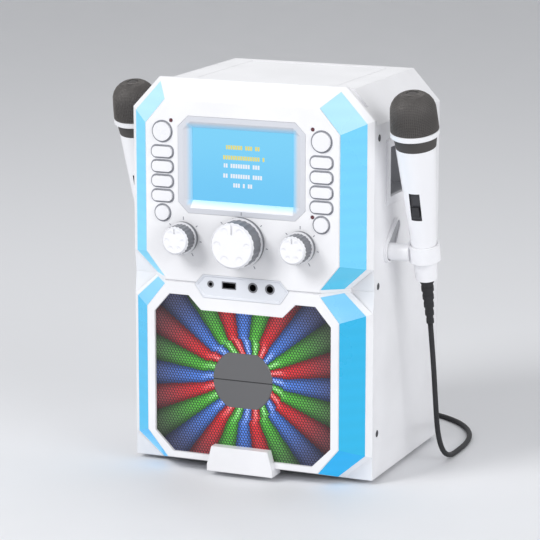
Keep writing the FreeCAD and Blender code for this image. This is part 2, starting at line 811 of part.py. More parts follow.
def indicator_lamps():
    lamps = []
    for x, z in lamp_places():
        lamps.append(rod(LAMP_RADIUS, V(x, -FIT, z), V(x, LAMP_LENGTH, z)))
    return lamps


# Socket plate

PORT_BACK = PORT_RECESS + PORT_THICK


def jack_places():
    """x and bore radius of each round socket."""
    return [(AUX_X, AUX_BORE)] + [(x, MIC_BORE) for x in MIC_JACK_X]


def port_plate():
    panel = plate(port_outline(), 0, PORT_BACK)
    panel = panel.cut(taper(inset(port_outline(), PORT_RECESS), 0, inset(port_outline(), 2 * PORT_RECESS),
                            PORT_RECESS))
    for x, bore in jack_places():
        panel = panel.cut(rod(bore + JACK_WALL + FIT, V(x, 0, SOCKET_Z), V(x, PORT_BACK, SOCKET_Z)))
    w = USB_WIDTH / 2 + USB_WALL + FIT
    h = USB_HEIGHT / 2 + USB_WALL + FIT
    return panel.cut(box(USB_X - w, USB_X + w, 0, PORT_BACK, SOCKET_Z - h, SOCKET_Z + h))


def jack_sockets():
    sockets = []
    for x, bore in jack_places():
        barrel = rod(bore + JACK_WALL, V(x, PORT_RECESS, SOCKET_Z), V(x, PORT_RECESS + JACK_LENGTH, SOCKET_Z))
        end = PORT_RECESS + JACK_LENGTH - JACK_WALL
        sockets.append(barrel.cut(rod(bore, V(x, PORT_RECESS, SOCKET_Z), V(x, end, SOCKET_Z))))
    return sockets


def usb_socket():
    w = USB_WIDTH / 2
    h = USB_HEIGHT / 2
    end = PORT_RECESS + USB_LENGTH
    shell = box(USB_X - w - USB_WALL, USB_X + w + USB_WALL, PORT_RECESS, end,
                SOCKET_Z - h - USB_WALL, SOCKET_Z + h + USB_WALL)
    return shell.cut(box(USB_X - w, USB_X + w, PORT_RECESS, end - USB_WALL, SOCKET_Z - h, SOCKET_Z + h))


# Speaker

GRILLE_BACK = WALL + GRILLE_THICK
BAFFLE_BACK = GRILLE_BACK + RING_LAMP_PROUD + BAFFLE_THICK


def speaker_grille():
    """Sheet behind the opening, with a flat-sided disc in two halves on its middle."""
    sheet = plate(inset(grille_outline(), -GRILLE_LAP), WALL, GRILLE_BACK)
    front = WALL - DISC_PLATE_PROUD
    disc = rod(DISC_PLATE_RADIUS, V(0, front, SPEAKER_Z), V(0, WALL, SPEAKER_Z))
    for low, high in ((DISC_PLATE_LINE / 2, DISC_PLATE_HALF), (-DISC_PLATE_HALF, -DISC_PLATE_LINE / 2)):
        half = disc.common(box(-FAR, FAR, front, WALL, SPEAKER_Z + low, SPEAKER_Z + high))
        sheet = sheet.fuse(half)
    return sheet


def light_baffle():
    """Dark plate behind the grille, with a ring of lamps round the speaker's hole."""
    front = GRILLE_BACK + RING_LAMP_PROUD
    baffle = plate(inset(grille_outline(), -GRILLE_LAP), front, BAFFLE_BACK)
    rim = plate(inset(grille_outline(), -GRILLE_LAP), GRILLE_BACK, front)
    baffle = baffle.fuse(rim.cut(plate(grille_outline(), GRILLE_BACK, front)))
    baffle = baffle.cut(rod(SPEAKER_HOLE, V(0, 0, SPEAKER_Z), V(0, FAR, SPEAKER_Z)))
    for i in range(RING_LAMPS):
        angle = 2 * math.pi * i / RING_LAMPS
        x = LAMP_RING_RADIUS * math.cos(angle)
        z = SPEAKER_Z + LAMP_RING_RADIUS * math.sin(angle)
        baffle = baffle.fuse(rod(RING_LAMP_RADIUS, V(x, GRILLE_BACK + FIT, z), V(x, front, z)))
    return baffle


def about_speaker(profile):
    """Solid turned about the speaker's axis, from (radius, depth behind the baffle) points."""
    points = [V(r, BAFFLE_BACK + d, SPEAKER_Z) for r, d in profile]
    return turned(points, V(0, 0, SPEAKER_Z), Y_AXIS)


def speaker_basket():
    lip = CONE_RADIUS + CONE_EDGE_GAP
    return about_speaker([
        (lip, 0),
        (BASKET_RADIUS, 0),
        (BASKET_RADIUS, 2 * BASKET_WALL),
        (BASKET_REAR_RADIUS, BASKET_DEPTH),
        (VOICE_COIL_RADIUS + VOICE_COIL_GAP, BASKET_DEPTH),
        (VOICE_COIL_RADIUS + VOICE_COIL_GAP, BASKET_DEPTH - BASKET_WALL),
        (BASKET_REAR_RADIUS - BASKET_WALL, BASKET_DEPTH - BASKET_WALL),
        (BASKET_RADIUS - 2 * BASKET_WALL, 2 * BASKET_WALL),
        (lip, 2 * BASKET_WALL),
    ])


def speaker_cone():
    """Paper cone with its dust cap and the tube of its voice coil."""
    neck = VOICE_COIL_RADIUS
    back = CONE_FRONT + CONE_DEPTH
    cone = about_speaker([
        (CONE_RADIUS, CONE_FRONT),
        (CONE_RADIUS, CONE_FRONT + CONE_THICK),
        (neck, back + CONE_THICK),
        (neck, back + VOICE_COIL_LENGTH),
        (neck - VOICE_COIL_WALL, back + VOICE_COIL_LENGTH),
        (neck - VOICE_COIL_WALL, back),
    ])
    cap = about_speaker([
        (0, back - DUST_CAP_RISE),
        (neck / 2, back - DUST_CAP_CREST),
        (neck, back),
        (neck, back + CONE_THICK),
        (0, back + CONE_THICK),
    ])
    return cone.fuse(cap)


def speaker_magnet():
    front = BASKET_DEPTH
    back = front + MAGNET_DEPTH
    return about_speaker([
        (0, front),
        (VOICE_COIL_RADIUS - VOICE_COIL_WALL - VOICE_COIL_GAP, front),
        (VOICE_COIL_RADIUS - VOICE_COIL_WALL - VOICE_COIL_GAP, front + MAGNET_SLOT),
        (VOICE_COIL_RADIUS + VOICE_COIL_GAP, front + MAGNET_SLOT),
        (VOICE_COIL_RADIUS + VOICE_COIL_GAP, front),
        (MAGNET_RADIUS, front),
        (MAGNET_RADIUS, back),
        (0, back),
    ])


# Rear shell and deck

GROOVE_FRONT = PANEL_DEPTH + GROOVE_FRONT_WALL
GROOVE_BACK = GROOVE_FRONT + GROOVE_WIDTH
LID_BOTTOM = DECK_HEIGHT - LID_THICK
LID_AXIS_Z = DECK_HEIGHT - LID_THICK / 2
LEDGE_TOP = LID_BOTTOM - LID_SEAT_GAP
FLOOR_UNDER = WELL_FLOOR - WELL_WALL


def cabinet_outline():
    return both_sides([
        (HALF - TOP_CORNER_IN, DECK_HEIGHT),
        (HALF, DECK_HEIGHT - TOP_CORNER_DOWN),
        (HALF, 0),
    ])


def cabinet_shell():
    """Rear shell and deck in one, with the rest groove across the top."""
    outer = plate(cabinet_outline(), PANEL_DEPTH, CABINET_DEPTH)
    groove = box(-FAR, FAR, GROOVE_FRONT, GROOVE_BACK, GROOVE_FLOOR, FAR)
    trough = box(-FAR, FAR, PANEL_DEPTH, GROOVE_BACK + WALL, GROOVE_FLOOR - WALL, FAR)
    cavity = plate(inset(cabinet_outline(), WALL), PANEL_DEPTH, BACK_INNER).cut(trough)
    return outer.cut(groove).cut(cavity)


def deck_region():
    return box(-DECK_WIDTH / 2, DECK_WIDTH / 2, PANEL_DEPTH, BACK_INNER, GROOVE_FLOOR - WALL, FAR)


def grip_opening(clearance):
    """Space of a hand grip's cup in the right side wall."""
    edge = GRIP_FRAME - GRIP_WALL - clearance
    return box(HALF - GRIP_DEPTH - GRIP_WALL, HALF, GRIP_FRONT_Y + edge, GRIP_REAR_Y - edge,
               GRIP_BOTTOM_Z + edge, GRIP_TOP_Z - edge)


def rear_shell(shell):
    body = shell.cut(deck_region())
    grip = grip_opening(FIT)
    cuts = [grip, mirrored(grip)]
    for z in SCREW_HEIGHTS:
        hole = rod(SCREW_RADIUS + FIT, V(HALF - 2 * WALL, SCREW_Y, z), V(HALF + WALL, SCREW_Y, z))
        seat_back = V(HALF - SCREW_HEAD_DEPTH, SCREW_Y, z)
        seat = rod(SCREW_HEAD_RADIUS + FIT, seat_back, V(HALF + WALL, SCREW_Y, z))
        hole = hole.fuse(seat)
        cuts += [hole, mirrored(hole)]
    for x in REAR_SOCKET_X:
        cuts.append(rod(REAR_SOCKET_RADIUS + FIT, V(x, BACK_INNER - WALL, REAR_SOCKET_Z),
                        V(x, CABINET_DEPTH + WALL, REAR_SOCKET_Z)))
    return body.cut(cuts)


def lid_plan(grow):
    """Corners of the lid seen from above, grown by a gap, up to the hinge line."""
    w = LID_HALF_WIDTH + grow
    front = LID_FRONT_Y - grow
    return [
        (-w, LID_HINGE_Y),
        (-w, front + LID_CORNER),
        (-w + LID_CORNER, front),
        (w - LID_CORNER, front),
        (w, front + LID_CORNER),
        (w, LID_HINGE_Y),
    ]


def plan(points, z0, z1):
    """Plate with an outline seen from above, between two heights."""
    corners = [V(x, y, z0) for x, y in points]
    return Part.Face(Part.makePolygon(corners + corners[:1])).extrude(V(0, 0, z1 - z0))


def lid_pocket():
    """Space that the closed lid and its round hinge edge need in the deck."""
    w = LID_HALF_WIDTH + LID_GAP
    pocket = plan(lid_plan(LID_GAP), LEDGE_TOP, FAR)
    rear = LID_HINGE_Y + LID_THICK / 2 + LID_GAP
    return pocket.fuse(box(-w, w, LID_HINGE_Y, rear, LEDGE_TOP, FAR))


def top_deck(shell):
    deck = shell.common(deck_region())
    w = LID_HALF_WIDTH + LID_GAP + LEDGE_REACH
    front = LID_FRONT_Y - LID_GAP - LEDGE_REACH
    rear = LID_HINGE_Y + LID_THICK / 2 + LID_GAP + LEDGE_REACH
    deck = deck.fuse(box(-w, w, front, rear, LEDGE_TOP - LEDGE_THICK, DECK_HEIGHT))
    deck = deck.cut(lid_pocket())
    middle = V(0, DISC_Y, 0)
    bowl = rod(WELL_RADIUS + WELL_WALL, middle + Z_AXIS * FLOOR_UNDER, middle + Z_AXIS * LEDGE_TOP)
    well = rod(WELL_RADIUS, middle + Z_AXIS * WELL_FLOOR, middle + Z_AXIS * DECK_HEIGHT)
    deck = deck.fuse(bowl).cut(well)
    slot_half = LENS_RADIUS + LENS_SLOT_MARGIN
    cuts = [
        rod(HUB_HOLE, middle, middle + Z_AXIS * DECK_HEIGHT),
        box(LENS_X - slot_half, LENS_X + SLED_TRAVEL + slot_half, DISC_Y - slot_half, DISC_Y + slot_half,
            0, DECK_HEIGHT),
        box(-NOTCH_HALF, NOTCH_HALF, LID_FRONT_Y - LID_GAP - NOTCH_LENGTH, LID_FRONT_Y,
            DECK_HEIGHT - NOTCH_DEPTH, FAR),
    ]
    for side in (-1, 1):
        cuts.append(hinge_pin(side, FIT))
    return deck.cut(cuts)


def hinge_pin(side, grow):
    start = V(side * (LID_HALF_WIDTH - PIN_IN_LID), LID_HINGE_Y, LID_AXIS_Z)
    end = V(side * (LID_HALF_WIDTH + LID_GAP + PIN_IN_DECK), LID_HINGE_Y, LID_AXIS_Z)
    return rod(PIN_RADIUS + grow, start, end)


def disc_lid():
    """Lid over the disc well, with a round rear edge that turns on two pins."""
    lid = plan(lid_plan(0), LID_BOTTOM, DECK_HEIGHT)
    lid = lid.fuse(rod(LID_THICK / 2, V(-LID_HALF_WIDTH, LID_HINGE_Y, LID_AXIS_Z),
                       V(LID_HALF_WIDTH, LID_HINGE_Y, LID_AXIS_Z)))
    for side in (-1, 1):
        lid = lid.cut(hinge_pin(side, RUNNING_FIT))
    return lid


def rubber_feet():
    feet = []
    for x in (HALF - FOOT_FROM_SIDE, FOOT_FROM_SIDE - HALF):
        for y in (FOOT_FRONT_Y, CABINET_DEPTH - FOOT_REAR_FROM_BACK):
            feet.append(rod(FOOT_RADIUS, V(x, y, FLOOR_Z), V(x, y, 0)))
    return feet


def case_screws():
    screws = []
    for z in SCREW_HEIGHTS:
        head_back = HALF - SCREW_HEAD_DEPTH
        screw = rod(SCREW_HEAD_RADIUS, V(head_back, SCREW_Y, z), V(HALF, SCREW_Y, z))
        tip = V(head_back - SCREW_LENGTH, SCREW_Y, z)
        screw = screw.fuse(rod(SCREW_RADIUS, tip, V(head_back, SCREW_Y, z)))
        screws += [screw, mirrored(screw)]
    return screws


def grip_cups():
    """Cup with a raised frame let into each side as a hand grip."""
    cup = grip_opening(0)
    cup = cup.fuse(box(HALF, HALF + GRIP_PROUD, GRIP_FRONT_Y, GRIP_REAR_Y, GRIP_BOTTOM_Z, GRIP_TOP_Z))
    hollow = box(HALF - GRIP_DEPTH, HALF + GRIP_PROUD, GRIP_FRONT_Y + GRIP_FRAME, GRIP_REAR_Y - GRIP_FRAME,
                 GRIP_BOTTOM_Z + GRIP_FRAME, GRIP_TOP_Z - GRIP_FRAME)
    cup = cup.cut(hollow)
    return [cup, mirrored(cup)]


# Disc drive

CHASSIS_TOP = FLOOR_UNDER - CHASSIS_GAP
CHASSIS_UNDER = CHASSIS_TOP - CHASSIS_THICK
ROD_Z = (CHASSIS_TOP + FLOOR_UNDER) / 2
GEAR_X = LENS_X + SLED_LENGTH / 2 + GEAR_AHEAD
GEAR_Y = DISC_Y + SLED_HALF_Y + RACK_WIDTH + GEAR_GAP + GEAR_RADIUS
ROD_START = LENS_X - SLED_LENGTH / 2 - ROD_BLOCK_GAP - ROD_BLOCK
ROD_END = LENS_X + SLED_LENGTH / 2 + SLED_TRAVEL + ROD_BLOCK_GAP + ROD_BLOCK


def sled_rods(grow=0):
    rods = []
    for side in (-1, 1):
        y = DISC_Y + side * ROD_SPREAD
        rods.append(rod(ROD_RADIUS + grow, V(ROD_START, y, ROD_Z), V(ROD_END, y, ROD_Z)))
    return rods


def disc_chassis():
    """Plate that hangs under the disc well on posts and carries the motor, rods and gear."""
    base = box(CHASSIS_LEFT, CHASSIS_RIGHT, DISC_Y - CHASSIS_HALF_Y, DISC_Y + CHASSIS_HALF_Y,
               CHASSIS_UNDER, CHASSIS_TOP)
    for x, y in CHASSIS_POSTS:
        base = base.fuse(rod(POST_RADIUS, V(x, DISC_Y + y, CHASSIS_TOP), V(x, DISC_Y + y, FLOOR_UNDER)))
    reach = ROD_SPREAD + 2 * ROD_RADIUS
    for x in (ROD_START, ROD_END - ROD_BLOCK):
        block_top = FLOOR_UNDER - SLED_GAP
        base = base.fuse(box(x, x + ROD_BLOCK, DISC_Y - reach, DISC_Y + reach, CHASSIS_TOP, block_top))
    stud = rod(ROD_RADIUS, V(GEAR_X, GEAR_Y, CHASSIS_TOP), V(GEAR_X, GEAR_Y, FLOOR_UNDER - SLED_GAP))
    base = base.fuse(stud).cut(sled_rods(FIT))
    spindle_hole = SPINDLE_RADIUS + 2 * FIT
    return base.cut(rod(spindle_hole, V(0, DISC_Y, CHASSIS_UNDER), V(0, DISC_Y, CHASSIS_TOP)))


def spindle_motor():
    motor = rod(MOTOR_RADIUS, V(0, DISC_Y, CHASSIS_UNDER - MOTOR_DEPTH), V(0, DISC_Y, CHASSIS_UNDER))
    return motor.cut(rod(SPINDLE_RADIUS + RUNNING_FIT, V(0, DISC_Y, CHASSIS_UNDER - MOTOR_DEPTH + WALL),
                         V(0, DISC_Y, CHASSIS_UNDER)))


def turntable():
    """Disc rest with a centring nose, on the spindle that runs down into the motor."""
    rest = WELL_FLOOR + TABLE_GAP
    profile = [
        (0, CHASSIS_UNDER - MOTOR_DEPTH + 2 * WALL),
        (SPINDLE_RADIUS, CHASSIS_UNDER - MOTOR_DEPTH + 2 * WALL),
        (SPINDLE_RADIUS, rest),
        (TABLE_RADIUS, rest),
        (TABLE_RADIUS, rest + TABLE_THICK),
        (NOSE_RADIUS, rest + TABLE_THICK),
        (NOSE_RADIUS - NOSE_TAPER, rest + TABLE_THICK + NOSE_HEIGHT),
        (0, rest + TABLE_THICK + NOSE_HEIGHT),
    ]
    return turned([V(r, DISC_Y, z) for r, z in profile], V(0, DISC_Y, 0), Z_AXIS)


def laser_sled():
    """Lens carriage on two rods, with the rack that the gear drives."""
    low = CHASSIS_TOP + SLED_GAP
    high = FLOOR_UNDER - SLED_GAP
    sled = box(LENS_X - SLED_LENGTH / 2, LENS_X + SLED_LENGTH / 2, DISC_Y - SLED_HALF_Y, DISC_Y + SLED_HALF_Y,
               low, high)
    side = DISC_Y + SLED_HALF_Y
    sled = sled.fuse(box(GEAR_X - SLED_TRAVEL, GEAR_X, side, side + RACK_WIDTH, low, high))
    lens = rod(LENS_RADIUS, V(LENS_X, DISC_Y, high), V(LENS_X, DISC_Y, FLOOR_UNDER + LENS_RISE))
    return sled.fuse(lens).cut(sled_rods(RUNNING_FIT))


def sled_gear():
    points = []
    step = 2 * math.pi / GEAR_TEETH
    for i in range(GEAR_TEETH):
        for share, r in ((0.0, GEAR_RADIUS - GEAR_TOOTH), (0.35, GEAR_RADIUS - GEAR_TOOTH),
                         (0.5, GEAR_RADIUS), (0.85, GEAR_RADIUS)):
            angle = (i + share) * step
            points.append((GEAR_X + r * math.cos(angle), GEAR_Y + r * math.sin(angle)))
    low = CHASSIS_TOP + SLED_GAP
    gear = plan(points, low, low + GEAR_THICK)
    return gear.cut(rod(ROD_RADIUS + RUNNING_FIT, V(GEAR_X, GEAR_Y, 0), V(GEAR_X, GEAR_Y, FAR)))


# Boards and sockets at the back

BOARD_BACK = BACK_INNER - STANDOFF_LENGTH


def main_board():
    board = box(-MAIN_BOARD_HALF, MAIN_BOARD_HALF, BOARD_BACK - BOARD_THICK, BOARD_BACK,
                MAIN_BOARD_BOTTOM, MAIN_BOARD_TOP)
    for x in (STANDOFF_INSET - MAIN_BOARD_HALF, MAIN_BOARD_HALF - STANDOFF_INSET):
        for z in (MAIN_BOARD_BOTTOM + STANDOFF_INSET, MAIN_BOARD_TOP - STANDOFF_INSET):
            board = board.fuse(rod(STANDOFF_RADIUS, V(x, BOARD_BACK, z), V(x, BACK_INNER, z)))
    middle = (MAIN_BOARD_BOTTOM + MAIN_BOARD_TOP) / 2
    front = BOARD_BACK - BOARD_THICK
    for x in (-CHIP_SIDE, CHIP_SIDE):
        board = board.fuse(box(x - CHIP_SIDE / 2, x + CHIP_SIDE / 2, front - CHIP_THICK, front,
                               middle - CHIP_SIDE / 2, middle + CHIP_SIDE / 2))
    return board


def rear_sockets():
    sockets = []
    for x in REAR_SOCKET_X:
        socket = rod(REAR_SOCKET_RADIUS, V(x, BOARD_BACK, REAR_SOCKET_Z), V(x, CABINET_DEPTH, REAR_SOCKET_Z))
        bore_end = V(x, BOARD_BACK + WALL, REAR_SOCKET_Z)
        bore = rod(REAR_SOCKET_BORE, bore_end, V(x, CABINET_DEPTH, REAR_SOCKET_Z))
        sockets.append(socket.cut(bore))
    return sockets


# Microphones and holders

def mic_middle(side):
    """Middle of a holder's ring; the left holder sits further back and lower than the right."""
    if side < 0:
        return V(-MIC_X, LEFT_MIC_Y, LEFT_MIC_Z)
    return V(MIC_X, RIGHT_MIC_Y, RIGHT_MIC_Z)


def on_mic(shape, side):
    """Move a piece drawn upright on the z axis to a microphone's place and lean."""
    moved = shape.copy()
    moved.rotate(V(0, 0, 0), X_AXIS, MIC_LEAN)
    moved.translate(mic_middle(side))
    return moved


def about_mic(profile):
    """Upright solid turned from (radius, distance along the microphone) points."""
    return turned([V(r, 0, s) for r, s in profile], V(0, 0, 0), Z_AXIS)


def grip_radius(s):
    """Radius of the handle at a distance along it."""
    if s < MIC_GRIP_END:
        share = (s - MIC_TAIL) / (MIC_GRIP_END - MIC_TAIL)
        return MIC_TAIL_RADIUS + share * (MIC_GRIP_RADIUS - MIC_TAIL_RADIUS)
    share = (s - MIC_GRIP_END) / (MIC_SHOULDER - MIC_GRIP_END)
    return MIC_GRIP_RADIUS + share * (MIC_SHOULDER_RADIUS - MIC_GRIP_RADIUS)


SWITCH_BED = grip_radius(SWITCH_LOW) - SWITCH_BED_DEPTH


def mic_handle():
    handle = about_mic([
        (0, MIC_TAIL),
        (MIC_TAIL_RADIUS, MIC_TAIL),
        (MIC_GRIP_RADIUS, MIC_GRIP_END),
        (MIC_SHOULDER_RADIUS, MIC_SHOULDER),
        (0, MIC_SHOULDER),
    ])
    return handle.cut(box(-SWITCH_WIDTH / 2, SWITCH_WIDTH / 2, -FAR, -SWITCH_BED, SWITCH_LOW, SWITCH_HIGH))


def mic_head():
    """Dark collar and wire ball in one, with a seat for the band between them."""
    base = V(HEAD_RADIUS, 0, BAND_TOP)
    side = V(HEAD_SIDE_RADIUS, 0, HEAD_SIDE_TOP)
    shoulder = V(HEAD_SHOULDER_RADIUS, 0, HEAD_SHOULDER)
    crown = V(HEAD_CROWN_RADIUS, 0, HEAD_CROWN)
    top = V(0, 0, HEAD_TOP)
    collar_low = V(MIC_SHOULDER_RADIUS - FIT, 0, MIC_SHOULDER)
    collar = V(COLLAR_RADIUS, 0, COLLAR_TOP)
    neck = V(COLLAR_RADIUS, 0, BAND_TOP)
    foot = V(0, 0, MIC_SHOULDER)
    edges = [
        Part.LineSegment(foot, collar_low).toShape(),
        Part.LineSegment(collar_low, collar).toShape(),
        Part.LineSegment(collar, neck).toShape(),
        Part.LineSegment(neck, base).toShape(),
        Part.LineSegment(base, side).toShape(),
        Part.Arc(side, shoulder, crown).toShape(),
        Part.LineSegment(crown, top).toShape(),
        Part.LineSegment(top, foot).toShape(),
    ]
    return Part.Face(Part.Wire(edges)).revolve(V(0, 0, 0), Z_AXIS, 360)


def mic_band():
    inner = COLLAR_RADIUS + FIT
    return about_mic([
        (inner, BAND_BOTTOM),
        (BAND_RADIUS, BAND_BOTTOM),
        (BAND_RADIUS, BAND_TOP - FIT),
        (inner, BAND_TOP - FIT),
    ])


def mic_slider():
    low = -SWITCH_BED - SLIDER_GAP
    half = SLIDER_WIDTH / 2
    return box(-half, half, low - SLIDER_HEIGHT, low, SLIDER_LOW, SLIDER_LOW + SLIDER_LENGTH)


def strain_relief():
    """Tapered and ribbed rubber sleeve where the cord leaves the handle."""
    profile = [(0, MIC_TAIL)]
    rib = RELIEF_LENGTH / (2 * RELIEF_RIBS + 1)
    for i in range(2 * RELIEF_RIBS + 1):
        radius = RELIEF_RADIUS + (RELIEF_END_RADIUS - RELIEF_RADIUS) * i / (2 * RELIEF_RIBS)
        groove = RELIEF_GROOVE * (i % 2)
        profile.append((radius - groove, MIC_TAIL - i * rib))
        profile.append((radius - groove, MIC_TAIL - (i + 1) * rib))
    profile.append((0, MIC_TAIL - RELIEF_LENGTH))
    return about_mic(profile)


def holder_rounds():
    """y, z and radius of the two rounds of the right holder's foot."""
    return [(RIGHT_MIC_Y + y, RIGHT_MIC_Z + z, r) for y, z, r in HOLDER_BASE]


def holder_leaf(margin, x0, x1):
    """Leaf shape of the right holder's foot, drawn in by a margin, between two distances from the middle."""
    rounds = [(y, z, r - margin) for y, z, r in holder_rounds()]
    (y0, z0, r0), (y1, z1, r1) = rounds
    length = math.hypot(y1 - y0, z1 - z0)
    heading = math.atan2(z1 - z0, y1 - y0)
    lean = math.acos((r0 - r1) / length)
    corners = []
    for angle in (heading + lean, heading - lean):
        for y, z, r in rounds:
            corners.append(V(x0, y + r * math.cos(angle), z + r * math.sin(angle)))
    loop = [corners[0], corners[1], corners[3], corners[2], corners[0]]
    leaf = Part.Face(Part.makePolygon(loop)).extrude(V(x1 - x0, 0, 0))
    for y, z, r in rounds:
        leaf = leaf.fuse(rod(r, V(x0, y, z), V(x1, y, z)))
    return leaf


def holder_base():
    """Foot of the right holder, flat on the cabinet's side, with a rim round its hollow face."""
    face = HALF + HOLDER_BASE_THICK
    return holder_leaf(0, HALF, face).cut(holder_leaf(HOLDER_FOOT_RIM, face - HOLDER_FOOT_HOLLOW, face))


def mic_holders():
    """Holder on each side: foot, boss and the ring that the handle drops into."""
    half = HOLDER_RING_HEIGHT / 2
    outer = grip_radius(half) + HOLDER_RING_GAP + HOLDER_RING_WALL
    ring = on_mic(rod(outer, V(0, 0, -half), V(0, 0, half)), 1)
    handle_space = on_mic(about_mic([
        (0, -HOLDER_RING_HEIGHT),
        (grip_radius(-HOLDER_RING_HEIGHT) + HOLDER_RING_GAP, -HOLDER_RING_HEIGHT),
        (grip_radius(MIC_GRIP_END) + HOLDER_RING_GAP, MIC_GRIP_END),
        (0, MIC_GRIP_END),
    ]), 1)
    y, z, r = holder_rounds()[0]
    boss = rod(HOLDER_BOSS_RADIUS, V(HALF, y, z), V(MIC_X, y, z))
    boss = boss.common(box(0, MIC_X - grip_radius(0), -FAR, FAR, -FAR, FAR))
    holder = holder_base().fuse(boss).fuse(ring).cut(handle_space)
    left = mirrored(holder)
    left.translate(V(0, LEFT_MIC_Y - RIGHT_MIC_Y, LEFT_MIC_Z - RIGHT_MIC_Z))
    return [holder, left]


# Cord of the right microphone

CORD_RADIUS = CORD_DIAMETER / 2
COIL_OUTER = COIL_INNER + COIL_TURNS * COIL_PITCH
COIL_CENTRE = V(COIL_CENTRE_X, COIL_REAR_Y - COIL_OUTER, FLOOR_Z + TIE_THICK + TIE_GAP + CORD_RADIUS)
COIL_START = COIL_CENTRE + V(CORD_DIAMETER, COIL_OUTER, 0)
PLUG_Z = FLOOR_Z + PLUG_RADIUS + TIE_GAP
COIL_END = V(COIL_CENTRE_X + COIL_TAIL, COIL_CENTRE.y - COIL_OUTER, PLUG_Z)
PLUG_START = COIL_END + V(CORD_DIAMETER, 0, 0)
GAP_STEP = 1.5


def cord_route():
    """Points of the cord from the strain relief to the coil."""
    lean = math.radians(MIC_LEAN)
    along = V(0, math.sin(lean), -math.cos(lean))
    leaving = mic_middle(1) + along * (RELIEF_LENGTH - MIC_TAIL)
    first_end = leaving + along * CORD_FIRST_RUN
    level = FLOOR_Z + CORD_RADIUS
    points = [leaving, first_end]
    points += [V(x, y, level + share * (first_end.z - level)) for x, y, share in CORD_FALL]
    points += [V(x, y, level) for x, y in CORD_ROUTE]
    return points + [COIL_START + X_AXIS * CORD_LAST_RUN, COIL_START]


def tube(edges, start, heading):
    """Round tube of the cord's thickness along joined edges."""
    section = Part.Wire([Part.makeCircle(CORD_RADIUS, start, heading)])
    return Part.Wire(edges).makePipeShell([section], True, False)


def cord_tube():
    """Straight runs joined by arcs that are as large as the runs allow."""
    points = cord_route()
    edges = []
    radii = []
    here = points[0]
    for before, corner, after in zip(points, points[1:], points[2:]):
        back = before - corner
        ahead = after - corner
        reach = ARC_SHARE * min(back.Length, ahead.Length)
        turn = math.pi - back.getAngle(ahead)
        radius = reach / math.tan(turn / 2)
        radii.append(round(radius, 1))
        back.normalize()
        ahead.normalize()
        middle = back + ahead
        middle.normalize()
        sagitta = radius / math.cos(turn / 2) - radius
        start = corner + back * reach
        end = corner + ahead * reach
        edges.append(Part.LineSegment(here, start).toShape())
        edges.append(Part.Arc(start, corner + middle * sagitta, end).toShape())
        here = end
    edges.append(Part.LineSegment(here, points[-1]).toShape())
    solid = tube(edges, points[0], points[1] - points[0])
    length = sum(edge.Length for edge in edges)
    expected = math.pi * CORD_RADIUS ** 2 * length
    print("cord radii", radii)
    print("cord length", round(length, 1), "volume share", round(solid.Volume / expected, 5))
    return solid


def arc_from(start, heading, end):
    """Arc that leaves a point in a given direction and ends at another."""
    chord = end - start
    half_turn = heading.getAngle(chord)
    chord_way = V(chord)
    chord_way.normalize()
    to_middle = heading + chord_way
    to_middle.normalize()
    middle = start + to_middle * (chord.Length / 2 / math.cos(half_turn / 2))
    return Part.Arc(start, middle, end).toShape()


def biarc(start, heading, end, end_heading):
    """Two tangent arcs between two points with given directions."""
    chord = end - start
    both = heading + end_heading
    spread = 1 - heading.dot(end_heading)
    across = chord.dot(chord)
    if spread < 1e-9:
        reach = across / (4 * chord.dot(end_heading))
    else:
        slope = chord.dot(both)
        reach = (math.sqrt(slope * slope + 2 * spread * across) - slope) / (2 * spread)
    joint = (start + heading * reach + end - end_heading * reach) * 0.5
    second = arc_from(end, end_heading * -1, joint)
    second.reverse()
    return [arc_from(start, heading, joint), second]


def coil_stations():
    """Point and direction at each half turn: in and out again, a layer higher at each reversal."""
    stations = []
    for layer in range(COIL_LAYERS):
        for i in range(2 * COIL_TURNS + 1):
            step = i * COIL_PITCH / 2
            radius = COIL_OUTER - step if layer % 2 == 0 else COIL_INNER + step
            side = 1 if len(stations) % 2 == 0 else -1
            place = COIL_CENTRE + V(0, side * radius, layer * COIL_LAYER)
            stations.append((place, V(-side, 0, 0)))
    return stations


def least_gap(edges):
    """Smallest gap between stretches of the coil that aren't neighbours along it."""
    points = []
    here = COIL_START
    for edge in edges:
        stretch = edge.discretize(max(2, int(edge.Length / GAP_STEP)))
        if (stretch[0] - here).Length > (stretch[-1] - here).Length:
            stretch.reverse()
        here = stretch[-1]
        points += stretch[:-1]
    apart = int(4 * CORD_DIAMETER / GAP_STEP)
    nearest = FAR
    for i, point in enumerate(points):
        for other in points[i + apart:]:
            nearest = min(nearest, (other - point).Length)
    return nearest - CORD_DIAMETER


def cord_coil():
    """Put-away length as one unbroken tube of wound turns, with a short tail to the plug."""
    stations = coil_stations() + [(COIL_END, X_AXIS)]
    edges = [Part.LineSegment(COIL_START, stations[0][0]).toShape()]
    for (start, heading), (end, end_heading) in zip(stations, stations[1:]):
        edges += biarc(start, heading, end, end_heading)
    edges.append(Part.LineSegment(COIL_END, PLUG_START).toShape())
    solid = tube(edges, COIL_START, V(-1, 0, 0))
    length = sum(edge.Length for edge in edges)
    expected = math.pi * CORD_RADIUS ** 2 * length
    print("coil length", round(length, 1), "volume share", round(solid.Volume / expected, 5))
    print("coil least gap to itself", round(least_gap(edges), 2))
    return solid


